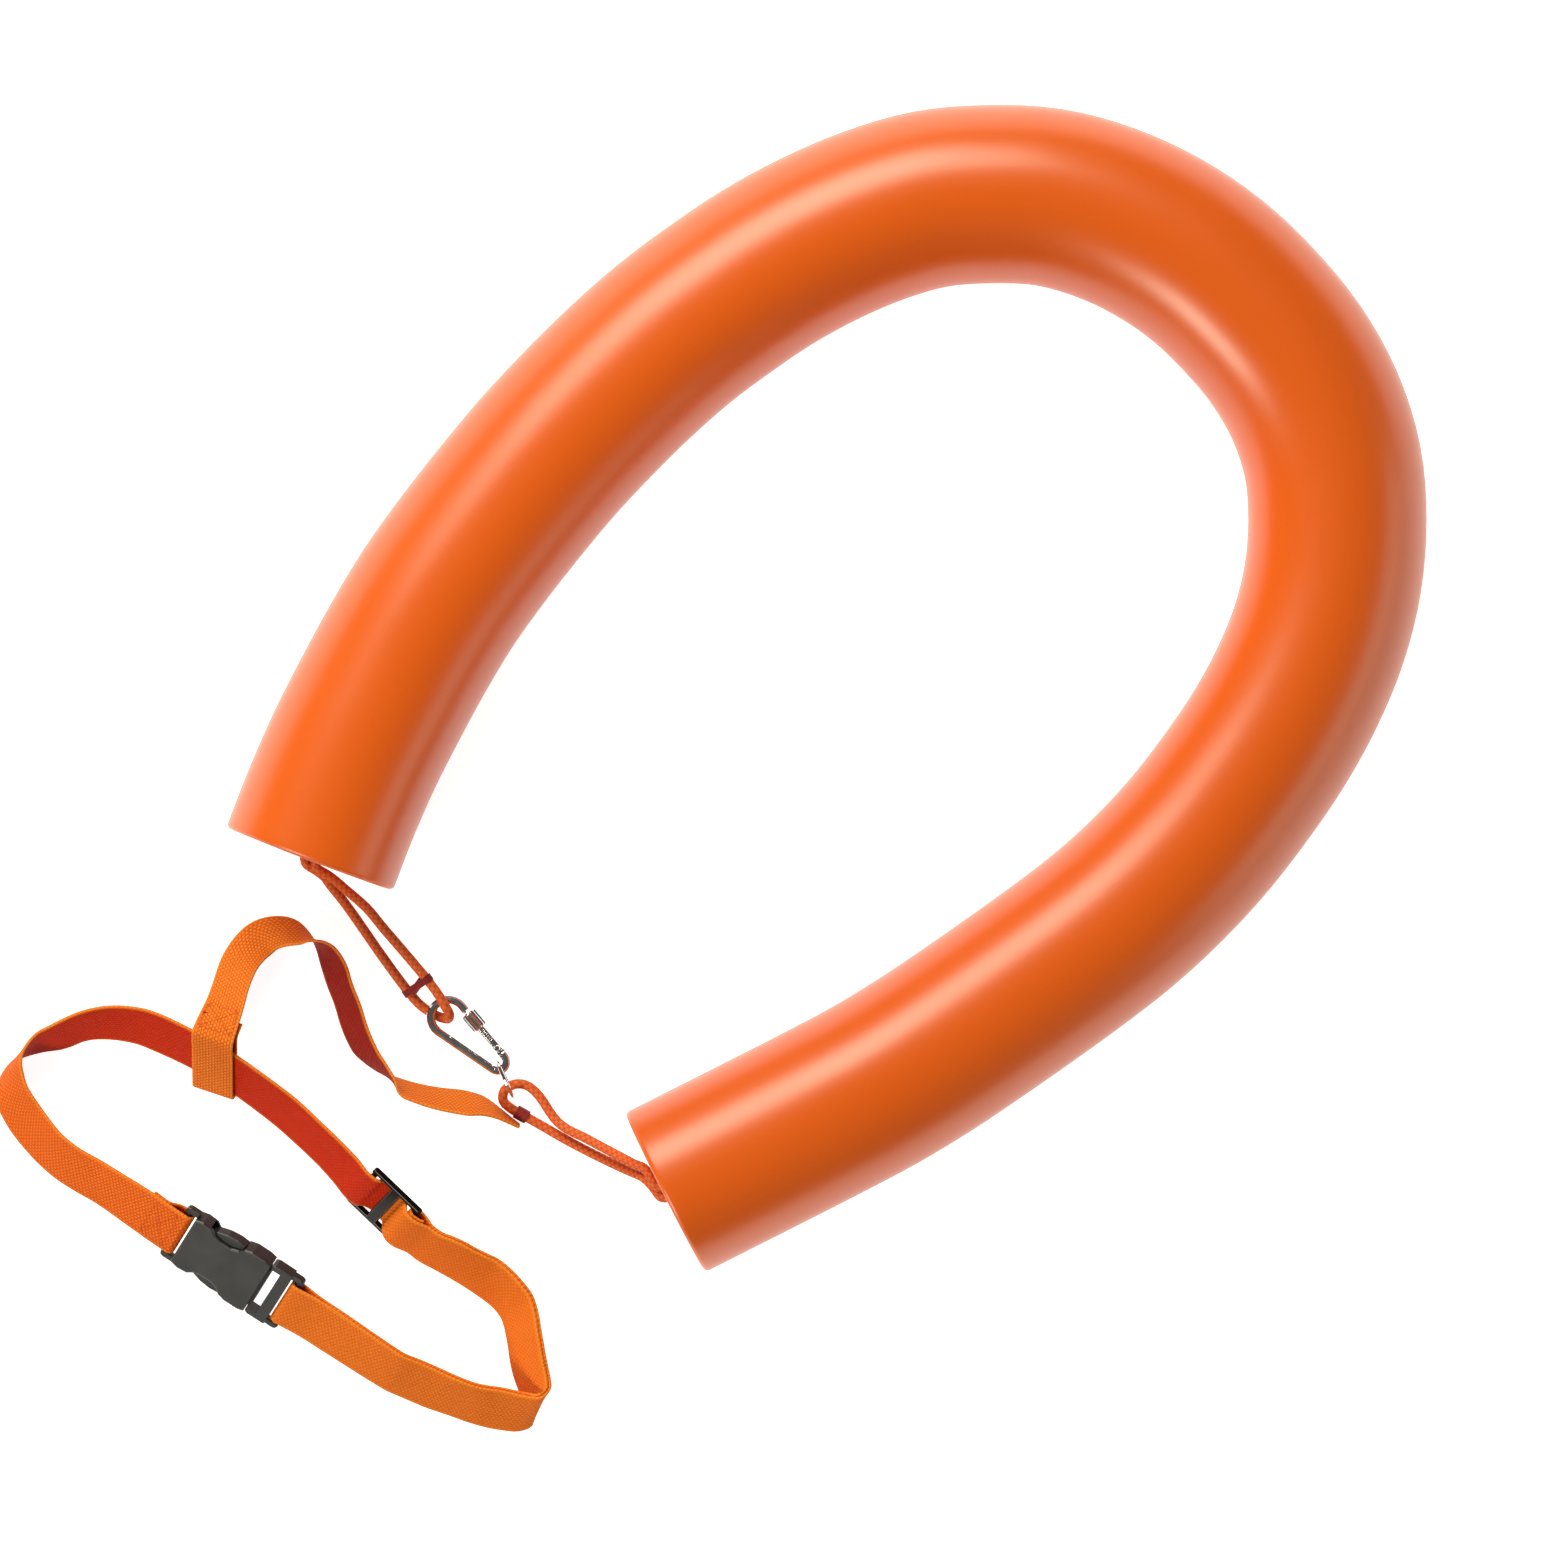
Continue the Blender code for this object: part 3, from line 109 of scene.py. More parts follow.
# Routes, in hundredths of a millimetre. A row is a step from the row before, and level if it has only two
# numbers. The direction across follows, in thousandths, where it changes, and a width that is narrower.
WAIST_STEPS = (
    (-49093, -40968, 1406, 425, 654, 626), (649, -469, 49), (502, -145, -190), (436, -246, -39),
    (77, -64, 15), (53, -74, 43), (19, -74, 63), (-16, -61, 74), (-49, -39, 75), (-75, -12, 63),
    (-89, 18, 43), (-90, 44, 14), (-826, 564, -29), (-487, 350, -21, 426, 657, 622),
    (-495, 338, -47, 424, 650, 631), (-497, 329, -66, 419, 634, 650), (-500, 324, -74, 414, 617, 669),
    (-505, 313, -90, 417, 609, 675), (-512, 293, -112, 429, 613, 663), (-520, 291, -78, 439, 599, 670),
    (-510, 310, -58, 449, 576, 683), (-479, 360, -48, 465, 548, 695), (-444, 402, -34, 484, 523, 702),
    (-399, 448, -21, 503, 519, 691), (-373, 470, -12, 523, 518, 677), (-352, 486, 4, 554, 481, 680),
    (-311, 513, 34, 603, 365, 709), (-258, 540, 43, 602, 300, 740), (-34, 589, 79, 511, 263, 818),
    (107, 581, 102, 370, 195, 908), (291, 515, 57, 224, 199, 954), (469, 373, -3, 94, 289, 953),
    (537, 262, -27, -59, 357, 932), (578, 158, -42, -203, 402, 893), (553, 230, -1, -191, 452, 871),
    (549, 244, 21, -100, 504, 858), (580, 152, 14, -35, 552, 833), (596, 67, 15, 16, 597, 802),
    (598, -4, 41, 63, 626, 777), (593, -70, 63, 105, 642, 759), (580, -122, 93, 149, 652, 744),
    (552, -202, 121, 191, 650, 736), (546, -237, 82, 220, 635, 741), (540, -253, 71, 244, 615, 750),
    (536, -266, 54, 267, 595, 758), (528, -284, 25, 290, 580, 761), (519, -303, -1, 311, 567, 763),
    (509, -316, -22, 330, 553, 766), (497, -334, -50, 344, 537, 770), (488, -344, -67, 361, 521, 774),
    (479, -350, -87, 390, 501, 773), (473, -360, -90, 414, 485, 770), (470, -366, -76, 417, 485, 769),
    (460, -382, -51, 414, 485, 770), (444, -404, -7, 414, 476, 776), (437, -412, 10, 414, 467, 781),
    (439, -410, 15, 412, 467, 783), (431, -417, 19, 414, 468, 781), (414, -435, 8, 427, 465, 775),
    (401, -447, 15, 443, 462, 768), (362, -472, 76), (289, -276, 0), (255, -168, -46), (254, -13, -138),
    (283, -118, -92), (195, -135, -31), (168, -161, 0),
)
FRONT_STEPS = (
    (-38157, -40670, 1157, 443, 462, 768), (168, -160, 0), (147, -205, 38), (-2, -241, 146), (5, -233, 139),
    (74, -205, 80), (154, -186, 23), (261, -198, -31), (314, -142, -95), (316, -150, -92),
    (481, -349, 17, 429, 484, 763), (552, -255, 39, 395, 534, 747), (540, -274, -18, 366, 569, 736),
    (517, -298, -95, 346, 585, 734), (517, -293, -88, 340, 619, 708), (508, -300, -75, 355, 650, 672),
    (461, -367, -20, 428, 571, 701), (414, -424, 6, 498, 468, 730), (342, -474, 10, 532, 417, 737),
    (181, -557, 30, 559, 304, 771), (108, -587, 35, 573, 174, 801), (104, -595, 10, 583, 112, 805),
    (94, -596, -9, 594, 102, 798), (128, -592, 3, 580, 144, 802), (174, -578, 21, 512, 245, 823),
    (164, -556, 28, 360, 358, 861), (-137, -484, -109, 176, 543, 821), (-513, -108, -143, 160, 673, 722),
    (-590, 71, -47, 168, 710, 684), (-595, 108, -17, 179, 720, 671), (-591, 116, 26, 201, 689, 696),
    (-576, 157, 45, 224, 658, 719), (-559, 206, 49, 246, 647, 722), (-562, 211, 18, 259, 662, 704),
    (-560, 222, 12, 271, 684, 678), (-553, 241, 47, 303, 676, 672), (-550, 240, 84, 328, 661, 674),
    (-530, 229, 135, 336, 649, 683), (-505, 306, 24, 350, 647, 677), (-505, 324, 1, 365, 649, 668),
    (-504, 329, -5, 381, 650, 658), (-503, 331, -8, 396, 652, 647), (-503, 332, -9, 411, 653, 636),
    (-504, 331, -7, 425, 654, 626), (-506, 329, 0), (-489, 347, -31), (-398, 306, -49), (-398, 305, -49),
    (-90, 44, 15), (-89, 17, 43), (-75, -11, 63), (-49, -40, 74), (-16, -61, 75), (19, -73, 63),
    (52, -74, 43), (77, -65, 14), (441, -239, -48), (441, -240, -49), (516, -306, -31), (505, -328, 0),
    (502, -332, 5, 411, 653, 636), (502, -333, 8, 396, 652, 647), (503, -333, 6, 381, 650, 658),
    (504, -331, 3, 365, 649, 668), (508, -328, -2, 350, 647, 677), (526, -318, -26, 336, 649, 683),
    (543, -232, -134, 328, 661, 674), (542, -236, -83, 303, 676, 672), (548, -240, -47, 271, 684, 678),
    (558, -226, -16, 259, 662, 704), (565, -215, -22, 246, 647, 722), (568, -208, -48, 224, 658, 719),
    (584, -155, -41, 201, 689, 696), (591, -112, -22, 179, 720, 671), (591, -109, 15, 168, 710, 684),
    (601, -79, 40, 160, 673, 722), (624, 106, 88, 176, 543, 821), (195, 609, -19, 360, 358, 861),
    (-184, 591, -57, 512, 245, 823), (-178, 574, -28, 580, 144, 802), (-126, 585, -4, 594, 102, 798),
    (-93, 594, 11, 583, 112, 805), (-104, 592, -10, 573, 174, 801), (-113, 595, -40, 559, 304, 771),
    (-196, 583, -37, 532, 417, 737), (-361, 499, -13, 498, 468, 730), (-431, 434, -11, 428, 571, 701),
    (-484, 378, 15, 355, 650, 672), (-518, 312, 81, 340, 619, 708), (-517, 297, 94, 346, 585, 734),
    (-513, 298, 94, 366, 569, 736), (-532, 273, 21, 395, 534, 747), (-540, 250, -36, 429, 484, 763),
    (-472, 343, -17, 443, 462, 768), (-184, 267, -54), (-204, 257, -37), (-228, 231, -8), (-79, 57, 12),
    (-86, 27, 33), (-81, -6, 50), (-62, -38, 59), (-35, -64, 58), (-3, -81, 50), (31, -85, 33), (60, -76, 12),
    (266, -191, -38), (199, -75, -69),
)
TETHER_STEPS = (
    (-32245, -37266, 485, 45, -113, 993, 900), (-422, 259, 110, 22, -204, 979, 1127),
    (-406, 259, 105, -13, -267, 964, 1354), (-424, 236, 91, -35, -350, 936, 1581),
    (-450, 178, 82, -45, -431, 901, 1807), (-484, 79, 66, -45, -477, 878), (-486, 90, -9, -46, -496, 867),
    (-490, 71, 11, -59, -472, 880), (-487, 85, 14, -73, -438, 896), (-483, 109, 14, -86, -401, 912),
    (-476, 135, 15, -104, -359, 927), (-468, 160, 15, -117, -313, 942), (-426, 249, 1, 50, -243, 969),
    (-370, 328, -14, 328, -140, 934), (-351, 348, -27, 438, -56, 897), (-336, 362, -35, 510, 8, 860),
    (-322, 372, -44, 582, 22, 813), (-235, 435, -12, 601, 25, 799), (-204, 451, -4, 607, 24, 795),
    (-168, 465, -2, 610, 16, 792), (-140, 475, 0, 611, 3, 792), (-153, 471, 3, 606, 2, 795),
    (-186, 458, 8, 594, 26, 804), (-169, 465, 5, 584, 57, 809), (-138, 476, -1, 584, 90, 807),
    (-183, 458, 27, 522, 141, 841), (-238, 430, 59, 373, 207, 905), (-339, 352, 53, 176, 112, 978),
    (-420, 261, 5, 34, -155, 987), (-441, 202, -87, 92, -482, 871), (-480, 78, -86, 127, -619, 775),
    (-487, -18, -83, 241, -678, 695), (-474, -122, -64, 418, -674, 610), (-416, -261, 8, 597, -623, 505),
    (-339, -312, 177, 698, -507, 505), (-273, -349, 219, 781, -365, 506), (-221, -371, 241, 832, -231, 505),
    (-159, -388, 264, 838, -159, 521), (-130, -395, 269, 833, -119, 540), (-121, -404, 258, 836, -113, 537),
    (-115, -414, 245, 848, -144, 510), (-139, -413, 236, 872, -182, 455), (-148, -408, 238, 896, -224, 384),
    (-150, -414, 227, 914, -266, 306), (-147, -438, 170, 924, -302, 234), (-45, -357, -285, 923, -298, 242),
    (-5, -367, -432), (-27, -584, -613), (-28, -584, -613), (-27, -584, -613), (3, -50, -76), (18, -19, -89),
    (27, 15, -86), (34, 47, -71), (35, 72, -45), (31, 85, -12), (22, 87, 22), (9, 73, 53), (28, 584, 613),
    (27, 585, 613), (39, 817, 858), (25, 366, 353), (79, 270, 31), (159, 394, -122),
)
LEFT_LOOP_STEPS = (
    (-41180, -24895, 3882), (-144, -373, 0), (99, -343, -97), (405, -259, -211), (382, -282, -223),
    (341, -311, -248), (345, -301, -257), (343, -304, -258), (335, -319, -247), (311, -365, -212),
    (300, -386, -191), (311, -385, -175), (323, -382, -158), (328, -388, -132), (333, -393, -100),
    (333, -398, -77), (332, -404, -47), (325, -411, -25), (308, -425, -5), (263, -451, -39),
    (215, -421, -215), (-88, -231, -421), (-435, 111, -253), (-458, 250, -46), (-415, 317, 21),
    (-345, 394, 39), (-321, 408, 74), (-304, 415, 103), (-294, 412, 139), (-285, 407, 168), (-279, 405, 184),
    (-272, 406, 192), (-268, 403, 204), (-264, 396, 220), (-261, 389, 238), (-258, 378, 257),
    (-260, 358, 282), (-259, 334, 311), (-247, 331, 323), (-224, 328, 341), (-364, 287, 245),
    (-401, 268, 206), (-90, 340, 90), (144, 373, 0),
)
RIGHT_LOOP_STEPS = (
    (-25383, -39736, 3882), (-357, -181, 0), (-317, 76, -93), (-240, 416, -214), (-289, 368, -233),
    (-421, 160, -265), (-391, 192, -294), (-387, 195, -298), (-390, 195, -293), (-394, 197, -288),
    (-398, 200, -279), (-405, 202, -267), (-426, 189, -243), (-420, 233, -212), (-379, 326, -158),
    (-310, 417, -74), (-280, 444, -10), (-337, 403, -11), (-428, 300, 0), (-510, 26, 12), (-447, -271, -17),
    (-56, -481, -94), (372, -358, -67), (458, -257, -29), (458, -255, -25), (457, -259, -29), (454, -265, -2),
    (454, -261, 37), (454, -245, 102), (447, -230, 153), (437, -215, 196), (426, -203, 233), (404, -184, 280),
    (381, -164, 323), (365, -155, 346), (352, -137, 365), (334, -130, 384), (316, -227, 351),
    (282, -319, 308), (278, -338, 291), (318, -25, 114), (357, 180, 0),
)
FLOAT_STEPS = (
    (-41557, -25177, 3950), (949, 2453), (1055, 2410), (1190, 2347), (1255, 2312), (1363, 2250), (1532, 2138),
    (1623, 2071), (1686, 2020), (1796, 1922), (1872, 1848), (1971, 1742), (2105, 1579), (2186, 1463),
    (2311, 1255), (2418, 1034), (2526, 726), (2619, 218), (2626, -128), (2536, -676), (2386, -1103),
    (2181, -1467), (1912, -1804), (1674, -2028), (1287, -2287), (793, -2506), (208, -2616), (-208, -2622),
    (-638, -2547), (-1010, -2428), (-1277, -2299), (-1486, -2171), (-1615, -2076), (-1789, -1928),
    (-1939, -1777), (-2076, -1617), (-2133, -1540), (-2157, -1506), (-2185, -1465), (-2252, -1361),
    (-2325, -1231), (-2343, -1197), (-2349, -1186), (-2348, -1185),
)

# Places of the strands' rows, from those of the foam's axis
INNER_STRAND_OFFSETS = (
    (388, 310), (231, -95), (226, -107), (221, -117), (217, -125), (209, -138), (201, -150), (194, -157),
    (187, -166), (179, -174), (171, -183), (158, -193), (144, -204), (130, -214), (109, -225), (84, -236),
    (45, -246), (4, -251), (-39, -247), (-85, -235), (-122, -218), (-156, -195), (-183, -171), (-207, -141),
    (-229, -99), (-246, -48), (-250, -1), (-246, 40), (-238, 78), (-225, 109), (-212, 131), (-201, 148),
    (-191, 162), (-176, 177), (-162, 191), (-150, 200), (-144, 204), (-141, 206), (-135, 211), (-123, 218),
    (-115, 222), (-113, 223), (-112, 224), (271, 417),
)
OUTER_STRAND_OFFSETS = (
    (-72, 488), (-225, 93), (-220, 104), (-216, 113), (-211, 121), (-203, 134), (-194, 146), (-189, 153),
    (-183, 161), (-174, 170), (-166, 178), (-154, 189), (-141, 198), (-125, 208), (-106, 219), (-81, 229),
    (-44, 240), (-4, 243), (37, 241), (83, 229), (120, 212), (152, 190), (178, 167), (200, 138), (223, 97),
    (239, 47), (243, 0), (241, -39), (231, -77), (219, -106), (207, -128), (197, -143), (185, -157),
    (172, -173), (157, -186), (146, -194), (141, -198), (137, -201), (131, -206), (120, -211), (113, -216),
    (110, -217), (110, -217), (493, -24),
)


class Body(Enum):
    """CAD bodies that the looks ride on."""

    MAIN = "main"
    GATE = "gate"
    PLUG = "plug"
    SLIDER = "slider"


class Side(Enum):
    """Face of a webbing that a stitch lies on."""

    INNER = 1.0
    OUTER = -1.0


def summed(rows: Sequence[Row]) -> list[Row]:
    """Whole rows of a table: places summed up from its steps, and directions carried on."""
    made, spot, across = [], (0, 0, 0), ()
    for row in rows:
        spot = tuple(a + b for a, b in zip_longest(spot, row[:3], fillvalue=0))
        across = row[3:6] or across
        made.append((*spot, *across, *row[6:]))
    return made


def beside_axis(offsets: Sequence[Row]) -> list[Row]:
    """Rows of a strand in the bore, from how far each lies from the foam's axis."""
    return [(x + dx, y + dy, STRAND_HEIGHT) for (x, y, _), (dx, dy) in zip(summed(FLOAT_STEPS), offsets)]


def place(row: Row) -> Vector:
    """Point of a route table in metres."""
    return Vector(row[:3]) * UNIT


def directions(points: Sequence[Vector]) -> list[Vector]:
    """Unit direction along a path at each of its points."""
    last = len(points) - 1
    return [(points[min(i + 1, last)] - points[max(i - 1, 0)]).normalized() for i in range(last + 1)]


def refined(rows: Sequence[Row], steps: int) -> list[Row]:
    """Rows of numbers on a smooth curve through chosen rows, with a number of steps to each span."""
    made = []
    last = len(rows) - 1
    for i in range(last):
        quad = (rows[max(i - 1, 0)], rows[i], rows[i + 1], rows[min(i + 2, last)])
        for k in range(steps):
            t = k / steps
            made.append(tuple(
                0.5 * (2 * b + (c - a) * t + (2 * a - 5 * b + 4 * c - d) * t * t
                       + (3 * b - a - 3 * c + d) * t ** 3)
                for a, b, c, d in zip(*quad)))
    made.append(tuple(float(x) for x in rows[last]))
    return made


def walked(points: Sequence[Vector]) -> list[float]:
    """Length of a path from its start to each of its points."""
    reach = [0.0]
    for a, b in zip(points, points[1:]):
        reach.append(reach[-1] + (b - a).length)
    return reach


def basis(origin: Vector, x: Vector, y: Vector, z: Vector) -> Matrix:
    """Matrix with three directions and an origin."""
    return Matrix.Translation(origin) @ Matrix((x, y, z)).transposed().to_4x4()


def scaled(x: float, y: float, z: float = 1.0) -> Matrix:
    """Matrix that scales by a number on each axis."""
    return Matrix.Diagonal((x, y, z, 1.0))


def swept(section: Section, frames: Sequence[Matrix], reach: Sequence[float], capped: bool = True) -> Mesh:
    """Extrude a closed section along frames and keep where each vertex is.

    Args:
        section: Points (x, y, turn) of the section, in each frame's X and Y; turn goes to the map's V.
        frames: One matrix for each step, with the path along its Z.
        reach: Length walked at each frame, which goes to the map's U.
        capped: Whether the two ends are closed.

    Returns:
        A mesh with a UV map named route, in metres along and the section's turn across.
    """
    bm = bmesh.new()
    along = bm.verts.layers.float.new("along")
    across = bm.verts.layers.float.new("across")
    verts = [bm.verts.new(frames[0] @ Vector((x, y, 0.0))) for x, y, _ in section]
    for vert, (_, _, turn) in zip(verts, section):
        vert[along] = reach[0]
        vert[across] = turn
    ring = [bm.edges.new(pair) for pair in zip(verts, verts[1:] + verts[:1])]
    ends = [ring]
    for before, after, length in zip(frames, frames[1:], reach[1:]):
        geom = bmesh.ops.extrude_edge_only(bm, edges=ring)["geom"]
        fresh = {g for g in geom if isinstance(g, bmesh.types.BMVert)}
        ring = [g for g in geom if isinstance(g, bmesh.types.BMEdge) and set(g.verts) <= fresh]
        bmesh.ops.transform(bm, matrix=after @ before.inverted(), verts=list(fresh))
        for vert in fresh:
            vert[along] = length
    ends.append(ring)
    if capped:
        for ring in ends:
            bmesh.ops.contextual_create(bm, geom=ring)
    bmesh.ops.recalc_face_normals(bm, faces=bm.faces)
    route = bm.loops.layers.uv.new("route")
    turns = [turn for _, _, turn in section]
    seam_span = SEAM_SHARE * (max(turns) - min(turns))
    for face in bm.faces:
        seen = [loop.vert[across] for loop in face.loops]
        wraps = max(seen) - min(seen) > seam_span and min(turns) == 0.0
        for loop, turn in zip(face.loops, seen):
            lifted = turn + 1.0 if wraps and turn < 0.5 else turn
            loop[route].uv = (loop.vert[along], lifted)
    return bm


def round_section(radius: float, sides: int) -> Section:
    """Round section whose turn goes from 0 to 1."""
    step = math.tau / sides
    return [(radius * math.cos(k * step), radius * math.sin(k * step), k / sides) for k in range(sides)]


def carried_frames(points: Sequence[Vector]) -> list[Matrix]:
    """Frames along a path, with Z along it and as little twist as there can be."""
    ways = directions(points)
    side = ways[0].cross(UP).normalized()
    frames = []
    for point, way in zip(points, ways):
        side = (side - way * side.dot(way)).normalized()
        frames.append(basis(point, side, way.cross(side), way))
    return frames


def round_sweep(points: Sequence[Vector], radius: float, sides: int) -> Mesh:
    """Round cord or wire along a path."""
    return swept(round_section(radius, sides), carried_frames(points), walked(points))


def shown(name: str, data: bpy.types.ID) -> bpy.types.Object:
    """Put new object data in the scene at the origin."""
    obj = bpy.data.objects.new(name, data)
    bpy.context.scene.collection.objects.link(obj)
    return obj


def added(name: str, bm: Mesh, finish: Material, body: Body | None,
          smooth: float = 60.0) -> bpy.types.Object:
    """Make a piece from a mesh and let it ride on a body.

    Args:
        name: Name of the piece.
        bm: Mesh in the part's frame; it is freed.
        finish: Material of the whole piece.
        body: CAD body that the piece moves with, or None for a piece on no body.
        smooth: Angle in degrees past which an edge stays sharp.

    Returns:
        The new object, at the origin.
    """
    mesh = bpy.data.meshes.new(name)
    bm.to_mesh(mesh)
    bm.free()
    mesh.materials.append(finish)
    for polygon in mesh.polygons:
        polygon.use_smooth = True
    mesh.set_sharp_from_angle(angle=math.radians(smooth))
    obj = shown(name, mesh)
    if body:
        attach(obj, body.value)
    LOG.info("%s: %d faces on %s", name, len(mesh.polygons), body)
    return obj


class Nodes:
    """Short way to add and join shader nodes in a tree."""

    def __init__(self, tree: bpy.types.NodeTree) -> None:
        """Keep the tree that nodes go into."""
        self.tree = tree

    def put(self, socket: Socket, value: object) -> None:
        """Give an input a value, or join it to another node's output."""
        if isinstance(value, Socket):
            self.tree.links.new(value, socket)
        else:
            socket.default_value = value

    def add(self, kind: str, values: dict | None = None, **settings: object) -> bpy.types.Node:
        """Add a node of a type, with its inputs by socket name or number and its own settings."""
        node = self.tree.nodes.new(kind)
        for key, value in settings.items():
            setattr(node, key, value)
        for key, value in (values or {}).items():
            self.put(node.inputs[key], value)
        return node

    def math(self, operation: str, *values: float | Socket) -> Socket:
        """Result of a math node on numbers or sockets."""
        return self.add("ShaderNodeMath", dict(enumerate(values)), operation=operation).outputs[0]

    def wave(self, value: Socket) -> Socket:
        """Rounded wave from 0 to 1 with one hump to each unit."""
        return self.math("ABSOLUTE", self.math("SINE", self.math("MULTIPLY", value, math.pi)))

    def blend(self, share: Socket, low: Colour | Socket, high: Colour | Socket) -> Socket:
        """Colour between two colours or sockets, by a share."""
        node = self.add("ShaderNodeMix", {"Factor": share}, data_type="RGBA")
        for index, value in zip(MIX_COLOURS, (low, high)):
            self.put(node.inputs[index], value if isinstance(value, Socket) else (*value, 1.0))
        return node.outputs[MIX_RESULT]

    def bumped(self, height: Socket, depth: float, strength: float = 1.0) -> Socket:
        """Normal from a height that stands for a real depth in metres."""
        return self.add("ShaderNodeBump", {
            "Height": height, "Distance": depth, "Strength": strength}).outputs[0]

    def spread(self, mask: Socket, low: float, high: float) -> Socket:
        """Number between two values, by a mask from 0 to 1."""
        return self.add("ShaderNodeMapRange", {"Value": mask, "To Min": low, "To Max": high}).outputs[0]

    def group(self, tree: bpy.types.NodeTree, **values: object) -> Sequence[Socket]:
        """Outputs of a node group placed with its values, with underscores for spaces in their names."""
        named = {key.replace("_", " "): value for key, value in values.items()}
        return self.add("ShaderNodeGroup", named, node_tree=tree).outputs


def new_group(name: str, inputs: dict[str, float | None], outputs: Iterable[str]) -> tuple:
    """Start a shader node group.

    Args:
        name: Name of the group.
        inputs: Input names with a default number, or None for a vector.
        outputs: Names of the number outputs.

    Returns:
        The group's tree, its Nodes helper, its input node's outputs and its output node's inputs.
    """
    tree = bpy.data.node_groups.new(name, "ShaderNodeTree")
    for key, value in inputs.items():
        kind = "NodeSocketVector" if value is None else "NodeSocketFloat"
        socket = tree.interface.new_socket(key, in_out="INPUT", socket_type=kind)
        if value is not None:
            socket.default_value = value
    for key in outputs:
        tree.interface.new_socket(key, in_out="OUTPUT", socket_type="NodeSocketFloat")
    nodes = Nodes(tree)
    return tree, nodes, nodes.add("NodeGroupInput").outputs, nodes.add("NodeGroupOutput").inputs


def mottle_group() -> bpy.types.NodeTree:
    """Group for slow colour variation and fine surface grain."""
    tree, nodes, come, go = new_group(
        "mottle", {"Vector": None, "Slow": 12.0, "Fine": 900.0}, ("Mask", "Grain"))
    for scale, detail, out in (("Slow", 3.0, "Mask"), ("Fine", 2.0, "Grain")):
        noise = nodes.add("ShaderNodeTexNoise", {
            "Vector": come["Vector"], "Scale": come[scale], "Detail": detail, "Roughness": 0.55})
        nodes.put(go[out], noise.outputs[0])
    return tree


def weave_group() -> bpy.types.NodeTree:
    """Group for woven webbing, in metres along and across: yarn height and selvedge mask."""
    tree, nodes, come, go = new_group(
        "weave", {"Map": None, "Pick": 1.0 * MM, "Rib": 1.1 * MM, "Half Width": 12.5 * MM,
                  "Selvedge": 1.3 * MM}, ("Height", "Edge"))
    split = nodes.add("ShaderNodeSeparateXYZ", {0: come["Map"]})
    u, v = split.outputs[0], split.outputs[1]
    rib = nodes.math("DIVIDE", v, come["Rib"])
    number = nodes.math("FLOOR", nodes.math("ADD", rib, RIBS_ASIDE))
    shift = nodes.math("MULTIPLY", nodes.math("MODULO", number, 2.0), 0.5)
    pick = nodes.math("ADD", nodes.math("DIVIDE", u, come["Pick"]), shift)
    slant = nodes.math("ADD", pick, nodes.math("MULTIPLY", nodes.math("PINGPONG", rib, 0.5), YARN_SLANT))
    height = nodes.math("MULTIPLY", nodes.math("POWER", nodes.wave(slant), 0.6),
                        nodes.math("POWER", nodes.wave(rib), 0.4))
    far = nodes.math("SUBTRACT", come["Half Width"], nodes.math("ABSOLUTE", v))
    edge = nodes.math("SUBTRACT", 1.0, nodes.math("DIVIDE", far, come["Selvedge"]))
    nodes.put(go["Height"], height)
    nodes.put(go["Edge"], nodes.math("MINIMUM", nodes.math("MAXIMUM", edge, 0.0), 1.0))
    return tree


def braid_group() -> bpy.types.NodeTree:
    """Group for braided cord: metres along and one turn round give strand height."""
    tree, nodes, come, go = new_group(
        "braid", {"Map": None, "Pitch": 3.2 * MM, "Strands": 4.0}, ("Height", "Gap"))
    split = nodes.add("ShaderNodeSeparateXYZ", {0: come["Map"]})
    along = nodes.math("DIVIDE", split.outputs[0], come["Pitch"])
    turn = nodes.math("MULTIPLY", split.outputs[1], come["Strands"])
    waves = [nodes.wave(nodes.math(operation, along, turn)) for operation in ("ADD", "SUBTRACT")]
    height = nodes.math("POWER", nodes.math("MULTIPLY", *waves), 0.5)
    nodes.put(go["Height"], height)
    nodes.put(go["Gap"], nodes.math("SUBTRACT", 1.0, height))
    return tree


@dataclass(frozen=True)
class Groups:
    """Node groups that the finishes share."""

    mottle: bpy.types.NodeTree = field(default_factory=mottle_group)
    weave: bpy.types.NodeTree = field(default_factory=weave_group)
    braid: bpy.types.NodeTree = field(default_factory=braid_group)


def started(name: str, colour: Colour, roughness: float, specular: float = 0.5,
            metallic: float = 0.0) -> tuple:
    """Start a material, and give it with its Nodes helper and its Principled node."""
    material = bpy.data.materials.new(name)
    material.use_nodes = True
    material.diffuse_color = (*colour, 1.0)
    principled = next(n for n in material.node_tree.nodes if n.type == "BSDF_PRINCIPLED")
    for key, value in (("Base Color", (*colour, 1.0)), ("Roughness", roughness),
                       ("Specular IOR Level", specular), ("Metallic", metallic)):
        principled.inputs[key].default_value = value
    return material, Nodes(material.node_tree), principled


def joined(nodes: Nodes, principled: bpy.types.Node, colour: Socket, roughness: Socket,
           normal: Socket) -> None:
    """Join colour, roughness and normal to a Principled node."""
    for key, socket in (("Base Color", colour), ("Roughness", roughness), ("Normal", normal)):
        nodes.put(principled.inputs[key], socket)


